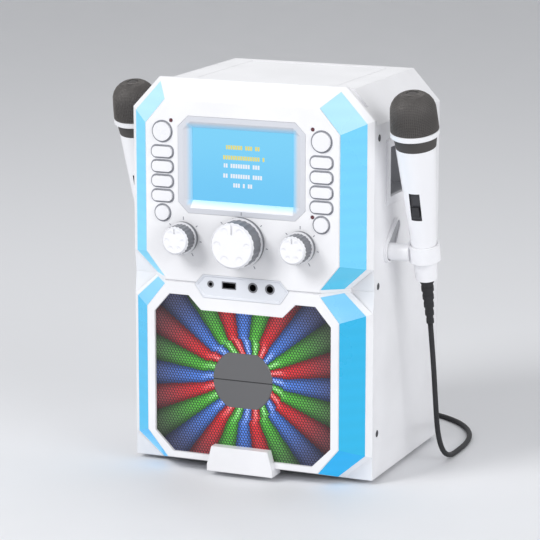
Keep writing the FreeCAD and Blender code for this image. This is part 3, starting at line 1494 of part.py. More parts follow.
def coil_tie():
    """Strap round all turns on one side of the coil."""
    near = COIL_CENTRE_X - COIL_INNER + CORD_RADIUS + TIE_GAP
    far = COIL_CENTRE_X - COIL_OUTER - CORD_RADIUS - TIE_GAP
    y = COIL_CENTRE.y
    top = COIL_CENTRE.z + (COIL_LAYERS - 1) * COIL_LAYER + CORD_RADIUS + TIE_GAP
    low = FLOOR_Z + TIE_THICK
    half = TIE_WIDTH / 2
    strap = box(far - TIE_THICK, near + TIE_THICK, y - half, y + half, FLOOR_Z, top + TIE_THICK)
    return strap.cut(box(far, near, y - TIE_WIDTH, y + TIE_WIDTH, low, top))


def cord_plug():
    """Jack plug: boot, barrel and stepped tip, lying beside the coil."""
    lengths = (PLUG_BOOT_LENGTH, PLUG_LENGTH, PLUG_TIP_LENGTH)
    profile = [
        (0, 0),
        (CORD_RADIUS + PLUG_BOOT_WALL, 0),
        (PLUG_RADIUS - PLUG_STEP, lengths[0]),
        (PLUG_RADIUS, lengths[0]),
        (PLUG_RADIUS, sum(lengths[:2])),
        (PLUG_TIP_RADIUS, sum(lengths[:2])),
        (PLUG_TIP_RADIUS, sum(lengths) - 2 * PLUG_TIP_RADIUS),
        (PLUG_TIP_RADIUS - PLUG_GROOVE, sum(lengths) - 1.5 * PLUG_TIP_RADIUS),
        (PLUG_TIP_RADIUS, sum(lengths) - PLUG_TIP_RADIUS),
        (PLUG_END_RADIUS, sum(lengths)),
        (0, sum(lengths)),
    ]
    points = [PLUG_START + V(s, 0, r) for r, s in profile]
    return turned(points, PLUG_START, X_AXIS)


# Every piece of the machine

def build():
    os.makedirs("parts", exist_ok=True)
    front = front_shell()
    save("upper_front_panel", upper_front_panel(front))
    save("lower_front_frame", lower_front_frame(front))
    save("light_strips", *light_strips())
    save("strip_lamp_boards", *strip_boards())
    save("screen_bezel", screen_bezel())
    save("screen_glass", screen_glass())
    save("display_module", display_module())
    for name, kind, x, z in button_places():
        save(name, button(kind, x, z))
    for name, x, radius, height, dimple in knob_places():
        save(name, knob(x, radius, height, dimple))
    save("rotary_controls", *potentiometers())
    save("indicator_lamps", *indicator_lamps())
    save("socket_plate", port_plate())
    save("front_sockets", usb_socket(), *jack_sockets())
    save("speaker_grille", speaker_grille())
    save("light_baffle", light_baffle())
    save("speaker_basket", speaker_basket())
    save("speaker_cone", speaker_cone())
    save("speaker_magnet", speaker_magnet())
    cabinet = cabinet_shell()
    save("rear_shell", rear_shell(cabinet))
    save("top_deck", top_deck(cabinet))
    save("disc_lid", disc_lid())
    save("lid_hinge_pins", hinge_pin(-1, 0), hinge_pin(1, 0))
    save("rubber_feet", *rubber_feet())
    save("case_screws", *case_screws())
    save("grip_cups", *grip_cups())
    save("disc_chassis", disc_chassis())
    save("spindle_motor", spindle_motor())
    save("turntable", turntable())
    save("laser_sled", laser_sled())
    save("sled_rods", *sled_rods())
    save("sled_gear", sled_gear())
    save("circuit_boards", main_board(), *button_boards())
    save("rear_sockets", *rear_sockets())
    save("mic_holders", *mic_holders())
    for name, side in (("left", -1), ("right", 1)):
        save("mic_%s_handle" % name, on_mic(mic_handle(), side))
        save("mic_%s_head" % name, on_mic(mic_head(), side))
        save("mic_%s_band" % name, on_mic(mic_band(), side))
        save("mic_%s_switch" % name, on_mic(mic_slider(), side))
    save("mic_cord_relief", on_mic(strain_relief(), 1))
    save("mic_cord", cord_tube())
    save("mic_cord_coil", cord_coil())
    save("mic_cord_tie", coil_tie())
    save("mic_cord_plug", cord_plug())


build()
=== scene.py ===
import math

import bmesh
import bpy
from bpy.props import FloatProperty, FloatVectorProperty, IntProperty, PointerProperty
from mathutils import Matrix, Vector


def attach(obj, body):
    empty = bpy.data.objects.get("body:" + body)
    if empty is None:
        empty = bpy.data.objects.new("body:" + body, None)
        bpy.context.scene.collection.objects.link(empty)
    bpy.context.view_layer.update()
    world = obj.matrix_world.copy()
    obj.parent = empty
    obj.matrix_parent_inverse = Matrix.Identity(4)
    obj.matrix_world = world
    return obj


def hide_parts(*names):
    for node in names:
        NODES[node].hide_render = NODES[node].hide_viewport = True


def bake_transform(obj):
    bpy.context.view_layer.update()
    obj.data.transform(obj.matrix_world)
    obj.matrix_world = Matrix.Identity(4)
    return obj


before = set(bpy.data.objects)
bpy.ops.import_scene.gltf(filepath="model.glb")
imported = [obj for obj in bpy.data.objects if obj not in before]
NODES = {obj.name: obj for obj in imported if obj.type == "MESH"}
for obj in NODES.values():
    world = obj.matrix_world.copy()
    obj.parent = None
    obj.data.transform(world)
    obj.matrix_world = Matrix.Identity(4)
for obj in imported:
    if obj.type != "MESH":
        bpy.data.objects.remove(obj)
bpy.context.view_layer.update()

bl_info = {
    "name": "Karaoke machine",
    "version": (1, 0, 0),
    "blender": (4, 5, 0),
    "location": "View3D > Sidebar > Karaoke",
    "description": "Looks of a table-top karaoke machine with two microphones",
    "category": "Object",
}


def low_corner(name):
    """Lowest corner of a CAD node's box at rest."""
    return Vector([min(corner[i] for corner in NODES[name].bound_box) for i in range(3)])


def middle(name):
    """Middle of a CAD node's box at rest."""
    return sum((Vector(corner) for corner in NODES[name].bound_box), Vector()) / 8


# Places and sizes in metres

SIDES = ("left", "right")
FRONT = low_corner("upper_front_panel").y
WAIST_Z = low_corner("upper_front_panel").z
SPEAKER_Z = middle("speaker_cone").z
SCREEN_Z = 0.2925
SCREEN_HALF_WIDTH = 0.0500
SCREEN_HALF_HEIGHT = 0.0335
KNOB_RADII = {"knob_left": 0.0135, "knob_centre": 0.0217, "knob_right": 0.0135}
UPPER_BUTTON_RADIUS = 0.0088
LOWER_BUTTON_RADIUS = 0.0069
KEYS_PER_SIDE = 4
MIC_POINTS = {"left": Vector((-0.154, 0.043, 0.200)), "right": Vector((0.154, -0.023, 0.215))}
MIC_LEAN = math.radians(14.5)
LAMP_PITCH = 0.0125
GRAIN_HEIGHT = 0.0004
# Thickness of the printed ticks and of the rings of painted shade round the buttons
PRINT_AND_SHADE_THICKNESS = 0.0002
RAY_INNER_RADIUS = 0.025
RAY_OUTER_RADIUS = 0.120
MARK_HALF_HEIGHT = 0.0019
MARKS_PER_METRE = 410.0

# Shares and plain colours

GLOSS_SPREAD = 0.12
MARK_SHARE = 0.74
GAP_CHANCE = 0.16
BLACK = (0.0, 0.0, 0.0, 1.0)
WHITE = (1.0, 1.0, 1.0, 1.0)
WORLD_TINT = (0.97, 0.98, 1.0, 1.0)


# Settings

def colour(red, green, blue):
    """Linear colour of display values from 0 to 255."""
    def linear(value):
        value /= 255
        return value / 12.92 if value <= 0.04045 else ((value + 0.055) / 1.055) ** 2.4
    return (linear(red), linear(green), linear(blue), 1.0)


class KaraokeShellSettings(bpy.types.PropertyGroup):
    white: FloatVectorProperty(name="Shell colour", description="Colour of the white mouldings", size=4,
                               subtype="COLOR", default=colour(243, 243, 246))
    keys: FloatVectorProperty(name="Key colour", description="Colour of the buttons and the knobs' faces",
                              size=4, subtype="COLOR", default=colour(241, 241, 245))
    edge: FloatProperty(name="Edge rounding", description="Radius of the moulded edges", default=0.0008,
                        unit="LENGTH")
    grain: FloatProperty(name="Grain size", description="Grains per metre of the moulded surface",
                         default=2600.0)
    grain_depth: FloatProperty(name="Grain depth", description="Strength of the moulded grain", default=0.05)


class KaraokeLightSettings(bpy.types.PropertyGroup):
    upper_strip: FloatVectorProperty(name="Upper strips", description="Colour of the upper strips' light",
                                     size=4, subtype="COLOR", default=colour(116, 214, 255))
    lower_strip: FloatVectorProperty(name="Lower strips", description="Colour of the lower strips' light",
                                     size=4, subtype="COLOR", default=colour(22, 184, 232))
    screen: FloatVectorProperty(name="Screen", description="Colour of the lit screen at its top", size=4,
                                subtype="COLOR", default=colour(122, 218, 255))
    first_ray: FloatVectorProperty(name="First ray", description="Colour of every third ray from the top",
                                   size=4, subtype="COLOR", default=colour(78, 124, 214))
    second_ray: FloatVectorProperty(name="Second ray", description="Colour of the rays after the first ones",
                                    size=4, subtype="COLOR", default=colour(84, 178, 62))
    third_ray: FloatVectorProperty(name="Third ray", description="Colour of the rays after the second ones",
                                   size=4, subtype="COLOR", default=colour(214, 48, 54))
    strip_glow: FloatProperty(name="Strip glow", description="Light given off by the strips", default=0.92)
    screen_glow: FloatProperty(name="Screen glow", description="Light given off by the screen", default=0.8)
    rays: IntProperty(name="Rays", description="Light rays round the speaker", default=24)
    ray_glow: FloatProperty(name="Ray glow", description="Light given off by the rays", default=2.3)
    hole_pitch: FloatProperty(name="Hole pitch", description="Distance between the grille's holes",
                              default=0.0028, unit="LENGTH")
    hole_share: FloatProperty(name="Hole share", description="Width of a hole over the pitch", default=0.84,
                              subtype="FACTOR")


class KaraokeCordSettings(bpy.types.PropertyGroup):
    diameter: FloatProperty(name="Diameter", description="Thickness of the cord", default=0.005,
                            unit="LENGTH")
    sides: IntProperty(name="Sides", description="Sides of the cord's section", default=12)


class KaraokeStageSettings(bpy.types.PropertyGroup):
    azimuth: FloatProperty(name="Azimuth", description="Camera's turn round the machine", subtype="ANGLE",
                           default=math.radians(22.99))
    elevation: FloatProperty(name="Elevation", description="Camera's height angle", subtype="ANGLE",
                             default=math.radians(12.05))
    distance: FloatProperty(name="Distance", description="Camera's distance", default=2.4648, unit="LENGTH")
    lens: FloatProperty(name="Lens", description="Focal length in millimetres", default=175.0)


# Short ways to write node trees

def put(tree, node, key, value):
    """Set or link one input, found by its name or its number."""
    socket = node.inputs[key]
    if isinstance(value, bpy.types.NodeSocket):
        tree.links.new(value, socket)
    else:
        socket.default_value = value


def add(tree, kind, inputs=None, **settings):
    """New node with its settings and inputs."""
    node = tree.nodes.new(kind)
    for key, value in settings.items():
        setattr(node, key, value)
    for key, value in (inputs or {}).items():
        put(tree, node, key, value)
    return node


def calc(tree, operation, *values):
    """Result of one sum."""
    node = add(tree, "ShaderNodeMath", operation=operation)
    for i, value in enumerate(values):
        put(tree, node, i, value)
    return node.outputs[0]


def ramp(tree, value, low, high):
    """0 below low and 1 above high, smooth in between; falls if low is the larger."""
    node = add(tree, "ShaderNodeMapRange", interpolation_type="SMOOTHSTEP")
    for key, number in (("Value", value), ("From Min", low), ("From Max", high)):
        put(tree, node, key, number)
    return node.outputs["Result"]


def mix(tree, share, first, second):
    """Colour between two colours."""
    node = add(tree, "ShaderNodeMix", data_type="RGBA")
    put(tree, node, 0, share)
    put(tree, node, 6, first)
    put(tree, node, 7, second)
    return node.outputs[2]


def place(tree):
    """Point on the machine at rest as x, y and z."""
    split = add(tree, "ShaderNodeSeparateXYZ", {0: add(tree, "ShaderNodeTexCoord").outputs["Object"]})
    return split.outputs["X"], split.outputs["Y"], split.outputs["Z"]


def group(name, inputs, outputs):
    """New node group with float inputs and named outputs; returns it with its two end nodes."""
    tree = bpy.data.node_groups.new(name, "ShaderNodeTree")
    for key, value in inputs:
        tree.interface.new_socket(key, in_out="INPUT", socket_type="NodeSocketFloat").default_value = value
    for key, kind in outputs:
        tree.interface.new_socket(key, in_out="OUTPUT", socket_type="NodeSocket" + kind)
    return tree, tree.nodes.new("NodeGroupInput"), tree.nodes.new("NodeGroupOutput")


def use(tree, name, inputs=None):
    """Node that uses a group."""
    node = tree.nodes.new("ShaderNodeGroup")
    node.node_tree = bpy.data.node_groups[name]
    for key, value in (inputs or {}).items():
        put(tree, node, key, value)
    return node


# Shared effects

def make_surface_group():
    """Grain height, and uneven gloss and tone of a moulded or rubbed surface."""
    tree, start, end = group("Surface wear", (("Grain", 2600.0), ("Patches", 14.0)),
                             (("Height", "Float"), ("Gloss", "Float"), ("Tone", "Float")))
    point = add(tree, "ShaderNodeTexCoord").outputs["Object"]
    fine = add(tree, "ShaderNodeTexNoise", {"Vector": point, "Scale": start.outputs["Grain"], "Detail": 3.0})
    patches = start.outputs["Patches"]
    broad = add(tree, "ShaderNodeTexNoise", {"Vector": point, "Scale": patches, "Detail": 5.0})
    put(tree, end, "Height", fine.outputs["Fac"])
    put(tree, end, "Gloss", ramp(tree, broad.outputs["Fac"], 0.3, 0.7))
    put(tree, end, "Tone", ramp(tree, broad.outputs["Fac"], 0.75, 0.25))


def make_ray_group():
    """Coloured rays round the speaker, brightest at their inner ends."""
    colours = bpy.context.scene.karaoke_light
    tree, start, end = group("Speaker rays", (("Rays", 24.0),), (("Color", "Color"),))
    x, y, z = place(tree)
    rise = calc(tree, "SUBTRACT", z, SPEAKER_Z)
    square = calc(tree, "ADD", calc(tree, "MULTIPLY", x, x), calc(tree, "MULTIPLY", rise, rise))
    radius = calc(tree, "SQRT", square)
    turn = calc(tree, "DIVIDE", calc(tree, "ARCTAN2", x, rise), 2 * math.pi)
    count = calc(tree, "MULTIPLY", calc(tree, "ADD", turn, 1.0), start.outputs["Rays"])
    nearest = calc(tree, "ROUND", count)
    aside = calc(tree, "ABSOLUTE", calc(tree, "SUBTRACT", count, nearest))
    body = calc(tree, "MULTIPLY_ADD", ramp(tree, aside, 0.56, 0.10), 0.70, 0.30)
    outward = ramp(tree, radius, RAY_OUTER_RADIUS, RAY_INNER_RADIUS)
    outer = calc(tree, "MULTIPLY_ADD", outward, 0.75, 0.25)
    lamp = calc(tree, "MULTIPLY", ramp(tree, radius, 0.046, 0.032), ramp(tree, aside, 0.34, 0.0))
    ray = calc(tree, "MULTIPLY", calc(tree, "MULTIPLY", body, outer), 0.65)
    light = calc(tree, "MULTIPLY_ADD", lamp, 0.35, ray)
    kind = calc(tree, "MODULO", nearest, 3.0)
    second = calc(tree, "COMPARE", kind, 1.0, 0.3)
    third = calc(tree, "COMPARE", kind, 2.0, 0.3)
    shade = mix(tree, second, colours.first_ray, colours.second_ray)
    shade = mix(tree, third, shade, colours.third_ray)
    shade = mix(tree, calc(tree, "MULTIPLY", lamp, 0.15), shade, WHITE)
    faded = calc(tree, "MULTIPLY", ramp(tree, radius, 0.045, RAY_OUTER_RADIUS), 0.8)
    shade = mix(tree, faded, shade, colour(122, 110, 118))
    put(tree, end, "Color", mix(tree, light, BLACK, shade))


def make_line_group():
    """Mask of one centred row of short marks on the screen."""
    tree, start, end = group("Screen row", (("Height", 0.3), ("Half", 0.02), ("Seed", 0.0)),
                             (("Mask", "Float"),))
    x, y, z = place(tree)
    off = calc(tree, "ABSOLUTE", calc(tree, "SUBTRACT", z, start.outputs["Height"]))
    row = calc(tree, "LESS_THAN", off, MARK_HALF_HEIGHT)
    within = calc(tree, "LESS_THAN", calc(tree, "ABSOLUTE", x), start.outputs["Half"])
    cell = calc(tree, "MULTIPLY", calc(tree, "ADD", x, 1.0), MARKS_PER_METRE)
    mark = calc(tree, "LESS_THAN", calc(tree, "FRACT", cell), MARK_SHARE)
    seed = calc(tree, "ADD", calc(tree, "FLOOR", cell), start.outputs["Seed"])
    chance = add(tree, "ShaderNodeTexWhiteNoise", {"W": seed}, noise_dimensions="1D")
    kept = calc(tree, "GREATER_THAN", chance.outputs["Value"], GAP_CHANCE)
    mask = calc(tree, "MULTIPLY", calc(tree, "MULTIPLY", row, within), calc(tree, "MULTIPLY", mark, kept))
    put(tree, end, "Mask", mask)


# Materials

def material(name, base, roughness, metallic=0.0, coat=0.0, grain=2600.0, depth=0.05, edge=0.0, tone=0.08):
    """Surface with grain, uneven gloss and tone and, if asked for, rounded edges."""
    made = bpy.data.materials.new(name)
    made.use_nodes = True
    tree = made.node_tree
    shader = tree.nodes["Principled BSDF"]
    wear = use(tree, "Surface wear", {"Grain": grain})
    darker = tuple(c * (1 - tone) for c in base[:3]) + (1.0,)
    put(tree, shader, "Base Color", mix(tree, wear.outputs["Tone"], base, darker))
    put(tree, shader, "Metallic", metallic)
    put(tree, shader, "Coat Weight", coat)
    least = roughness - GLOSS_SPREAD / 2
    put(tree, shader, "Roughness", calc(tree, "MULTIPLY_ADD", wear.outputs["Gloss"], GLOSS_SPREAD, least))
    bump = add(tree, "ShaderNodeBump",
               {"Height": wear.outputs["Height"], "Strength": depth, "Distance": GRAIN_HEIGHT})
    if edge:
        put(tree, bump, "Normal", add(tree, "ShaderNodeBevel", {"Radius": edge}, samples=4).outputs[0])
    put(tree, shader, "Normal", bump.outputs[0])
    return made


def shader_of(made):
    return made.node_tree, made.node_tree.nodes["Principled BSDF"]


def dress(made, *names):
    """Give CAD nodes a material."""
    for name in names:
        slots = NODES[name].data.materials
        slots.clear()
        slots.append(made)


def lookup(name):
    return bpy.data.materials[name]


def make_materials():
    """Every plain material of the machine."""
    shell = bpy.context.scene.karaoke_shell
    kinds = (
        ("White shell", shell.white, 0.36, 0.0, 0.25, shell.edge),
        ("White keys", shell.keys, 0.32, 0.0, 0.3, shell.edge),
        ("Pale trim", colour(228, 231, 238), 0.38, 0.0, 0.2, shell.edge),
        ("Grey trim", colour(150, 152, 160), 0.42, 0.0, 0.1, shell.edge),
        # Grey print: printed ticks round the knobs, and painted shade in the gaps round the buttons
        ("Grey print and gap shade", colour(142, 144, 152), 0.6, 0.0, 0.0, 0.0),
        ("Black plastic", colour(38, 38, 42), 0.45, 0.0, 0.1, shell.edge),
        ("Black mesh", colour(52, 52, 56), 0.5, 0.3, 0.0, 0.0),
        ("Grey disc", colour(98, 98, 100), 0.5, 0.0, 0.1, 0.0),
        ("Lamp lens", colour(88, 24, 38), 0.2, 0.0, 0.6, 0.0),
        ("Steel", colour(176, 176, 180), 0.3, 1.0, 0.0, 0.0),
        ("Dark screw", colour(60, 60, 66), 0.38, 0.8, 0.0, 0.0),
        ("Green board", colour(30, 96, 52), 0.5, 0.0, 0.2, 0.0),
        ("Rubber", colour(36, 36, 39), 0.7, 0.0, 0.0, 0.0),
        ("Mic wire", colour(104, 101, 99), 0.42, 0.6, 0.0, 0.0),
        ("Mic inside", colour(72, 69, 68), 0.7, 0.0, 0.0, 0.0),
    )
    for name, base, roughness, metallic, coat, edge in kinds:
        material(name, base, roughness, metallic, coat, shell.grain, shell.grain_depth, edge)


# Mesh helpers

def piece(name, vertices, faces, made, body="cabinet", smooth=True):
    """New mesh piece that rides on a body."""
    mesh = bpy.data.meshes.new(name)
    mesh.from_pydata([tuple(v) for v in vertices], [], faces)
    mesh.materials.append(made)
    if smooth:
        mesh.shade_smooth()
    mesh.validate()
    item = bpy.data.objects.new(name, mesh)
    bpy.context.scene.collection.objects.link(item)
    if body:
        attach(item, body)
    return item


def thicken(item, thickness):
    solid = item.modifiers.new("Thickness", "SOLIDIFY")
    solid.thickness = thickness
    solid.offset = 0.0


def tube_mesh(points, radius, sides):
    """Vertices and faces of a closed round tube along points."""
    vertices = []
    faces = []
    side = Vector((1, 0, 0))
    for i, point in enumerate(points):
        ahead = (points[min(i + 1, len(points) - 1)] - points[max(i - 1, 0)]).normalized()
        side = (side - ahead * side.dot(ahead)).normalized()
        up = ahead.cross(side)
        for k in range(sides):
            angle = 2 * math.pi * k / sides
            vertices.append(point + (side * math.cos(angle) + up * math.sin(angle)) * radius)
    for i in range(len(points) - 1):
        for k in range(sides):
            a, b = i * sides + k, i * sides + (k + 1) % sides
            faces.append((a, b, b + sides, a + sides))
    faces.append(tuple(range(sides))[::-1])
    faces.append(tuple(len(vertices) - sides + k for k in range(sides)))
    return vertices, faces


def ring_faces(outer, inner, base):
    """Faces of a flat ring between two loops of as many points."""
    count = len(outer)
    faces = []
    for i in range(count):
        j = (i + 1) % count
        faces.append((base + i, base + j, base + count + j, base + count + i))
    return faces


def mic_place(side, radius, angle, along):
    """Point on a microphone, by radius, angle about its line and distance along it."""
    x = radius * math.cos(angle)
    y = radius * math.sin(angle)
    lean_y = y * math.cos(MIC_LEAN) - along * math.sin(MIC_LEAN)
    lean_z = y * math.sin(MIC_LEAN) + along * math.cos(MIC_LEAN)
    return MIC_POINTS[side] + Vector((x, lean_y, lean_z))


# Pieces

class KaraokeFront(bpy.types.Operator):
    """Finish the front panels, add grey rings of painted shade round the buttons and the printed ticks"""
    bl_idname = "karaoke.front"
    bl_label = "Front"

    bezel_glow = 0.0060
    socket_rim = 0.0013
    socket_dark = 0.0016
    ring_edges = (0.0017, 0.0004)
    ring_points = 48
    key_across = 0.006
    key_up = 0.0008
    key_corner = 0.004
    tick_angles = range(-150, 151, 50)
    tick_half_width = 0.0004
    tick_start = 0.0030
    tick_long = 0.0060
    tick_short = 0.0050

    def execute(self, context):
        dress(lookup("White shell"), "upper_front_panel", "lower_front_frame")
        dress(lookup("Pale trim"), "socket_plate")
        self.bezel()
        self.sockets()
        dress(lookup("Lamp lens"), "indicator_lamps")
        self.rings()
        self.ticks()
        return {"FINISHED"}

    def bezel(self):
        """Pale frame, with painted light: the screen's blue glow painted on its inner slopes."""
        made = material("Bezel", colour(228, 231, 238), 0.38, coat=0.2, edge=0.0006)
        tree, shader = shader_of(made)
        x, y, z = place(tree)
        across = calc(tree, "SUBTRACT", calc(tree, "ABSOLUTE", x), SCREEN_HALF_WIDTH)
        rise = calc(tree, "ABSOLUTE", calc(tree, "SUBTRACT", z, SCREEN_Z))
        up = calc(tree, "SUBTRACT", rise, SCREEN_HALF_HEIGHT)
        near = ramp(tree, calc(tree, "MAXIMUM", across, up), self.bezel_glow, 0.0)
        put(tree, shader, "Base Color", mix(tree, near, colour(208, 210, 217), colour(146, 208, 242)))
        dress(made, "screen_bezel")

    def sockets(self):
        """Grey socket rims with dark insides."""
        made = material("Socket", colour(120, 121, 126), 0.4)
        tree, shader = shader_of(made)
        x, y, z = place(tree)
        inside = ramp(tree, y, FRONT + self.socket_rim, FRONT + self.socket_dark)
        put(tree, shader, "Base Color", mix(tree, inside, colour(120, 121, 126), colour(20, 20, 23)))
        dress(made, "front_sockets")

    def rings(self):
        """Thin grey line round each button: painted shade of the gap between the button and the panel."""
        vertices = []
        faces = []
        for side in SIDES:
            buttons = [("upper_button_" + side, UPPER_BUTTON_RADIUS)]
            buttons += [("key_%s_%d" % (side, i + 1), 0.0) for i in range(KEYS_PER_SIDE)]
            buttons += [("lower_button_" + side, LOWER_BUTTON_RADIUS)]
            for name, radius in buttons:
                outer, inner = [self.outline(middle(name), radius, grow) for grow in self.ring_edges]
                faces += ring_faces(outer, inner, len(vertices))
                vertices += outer + inner
        item = piece("button_gap_shade_rings", vertices, faces, lookup("Grey print and gap shade"), smooth=False)
        thicken(item, PRINT_AND_SHADE_THICKNESS)

    def outline(self, centre, radius, grow):
        """Loop of a button's edge, grown by a distance; a key has no radius of its own."""
        across, up, corner = 0.0, 0.0, radius
        if radius == 0:
            across, up, corner = self.key_across, self.key_up, self.key_corner
        loop = []
        for i in range(self.ring_points):
            angle = 2 * math.pi * (i + 0.5) / self.ring_points
            right = math.copysign(across, math.cos(angle))
            top = math.copysign(up, math.sin(angle))
            reach = corner + grow
            x = centre.x + right + reach * math.cos(angle)
            z = centre.z + top + reach * math.sin(angle)
            loop.append(Vector((x, FRONT, z)))
        return loop

    def ticks(self):
        """Short marks round each knob."""
        vertices = []
        faces = []
        for name, radius in KNOB_RADII.items():
            centre = Vector((middle(name).x, FRONT, middle(name).z))
            for i, degrees in enumerate(self.tick_angles):
                angle = math.radians(degrees)
                out = Vector((math.sin(angle), 0, math.cos(angle)))
                aside = Vector((math.cos(angle), 0, -math.sin(angle))) * self.tick_half_width
                near = centre + out * (radius + self.tick_start)
                far = centre + out * (radius + (self.tick_long if i % 3 == 0 else self.tick_short))
                base = len(vertices)
                vertices += [near - aside, near + aside, far + aside, far - aside]
                faces.append((base, base + 1, base + 2, base + 3))
        item = piece("knob_ticks", vertices, faces, lookup("Grey print and gap shade"), smooth=False)
        thicken(item, PRINT_AND_SHADE_THICKNESS)


class KaraokeLights(bpy.types.Operator):
    """Light the strips on the bevels"""
    bl_idname = "karaoke.lights"
    bl_label = "Light strips"

    def execute(self, context):
        light = context.scene.karaoke_light
        made = material("Lit strip", colour(4, 52, 84), 0.3, coat=0.15, depth=0.02)
        tree, shader = shader_of(made)
        flat = add(tree, "ShaderNodeNewGeometry").outputs["True Normal"]
        normal = add(tree, "ShaderNodeSeparateXYZ", {0: flat})
        x, y, z = place(tree)
        upper = calc(tree, "GREATER_THAN", z, WAIST_Z)
        main = mix(tree, upper, light.lower_strip, light.upper_strip)
        # Painted light and shade: facets facing up are painted paler and facets facing down darker than the
        # main facets
        top = mix(tree, upper, colour(132, 212, 253), colour(192, 242, 254))
        low = mix(tree, upper, colour(20, 176, 240), colour(90, 195, 230))
        painted_light_up = ramp(tree, normal.outputs["Z"], 0.25, 0.5)
        painted_shade_down = ramp(tree, normal.outputs["Z"], -0.25, -0.5)
        shade = mix(tree, painted_shade_down, mix(tree, painted_light_up, main, top), low)
        lamps = calc(tree, "SINE", calc(tree, "MULTIPLY", z, 2 * math.pi / LAMP_PITCH))
        even = calc(tree, "MULTIPLY_ADD", lamps, 0.015, 0.985)
        put(tree, shader, "Emission Color", mix(tree, even, BLACK, shade))
        put(tree, shader, "Emission Strength", light.strip_glow)
        dress(made, "light_strips")
        dress(lookup("Green board"), "strip_lamp_boards")
        return {"FINISHED"}


class KaraokeScreen(bpy.types.Operator):
    """Light the screen with rows of plain marks"""
    bl_idname = "karaoke.screen"
    bl_label = "Screen"

    # Height, half width and warm colour of each row
    rows = (
        (0.3100, 0.0167, True), (0.3005, 0.0213, True), (0.2930, 0.0190, False),
        (0.2836, 0.0195, False), (0.2751, 0.0096, False),
    )
    seed_step = 13.0

    def execute(self, context):
        made = material("Lit screen", colour(20, 60, 90), 0.12, coat=0.6, depth=0.0, tone=0.02)
        tree, shader = shader_of(made)
        x, y, z = place(tree)
        light = context.scene.karaoke_light
        height = ramp(tree, z, SCREEN_Z - SCREEN_HALF_HEIGHT, SCREEN_Z + SCREEN_HALF_HEIGHT)
        shade = mix(tree, height, colour(104, 206, 252), light.screen)
        for i, (row_z, half, warm) in enumerate(self.rows):
            row = use(tree, "Screen row", {"Height": row_z, "Half": half, "Seed": self.seed_step * i})
            shade = mix(tree, row.outputs["Mask"], shade, colour(250, 232, 60) if warm else WHITE)
        put(tree, shader, "Emission Color", shade)
        put(tree, shader, "Emission Strength", light.screen_glow)
        dress(made, "screen_glass")
        dress(lookup("Black plastic"), "display_module")
        return {"FINISHED"}


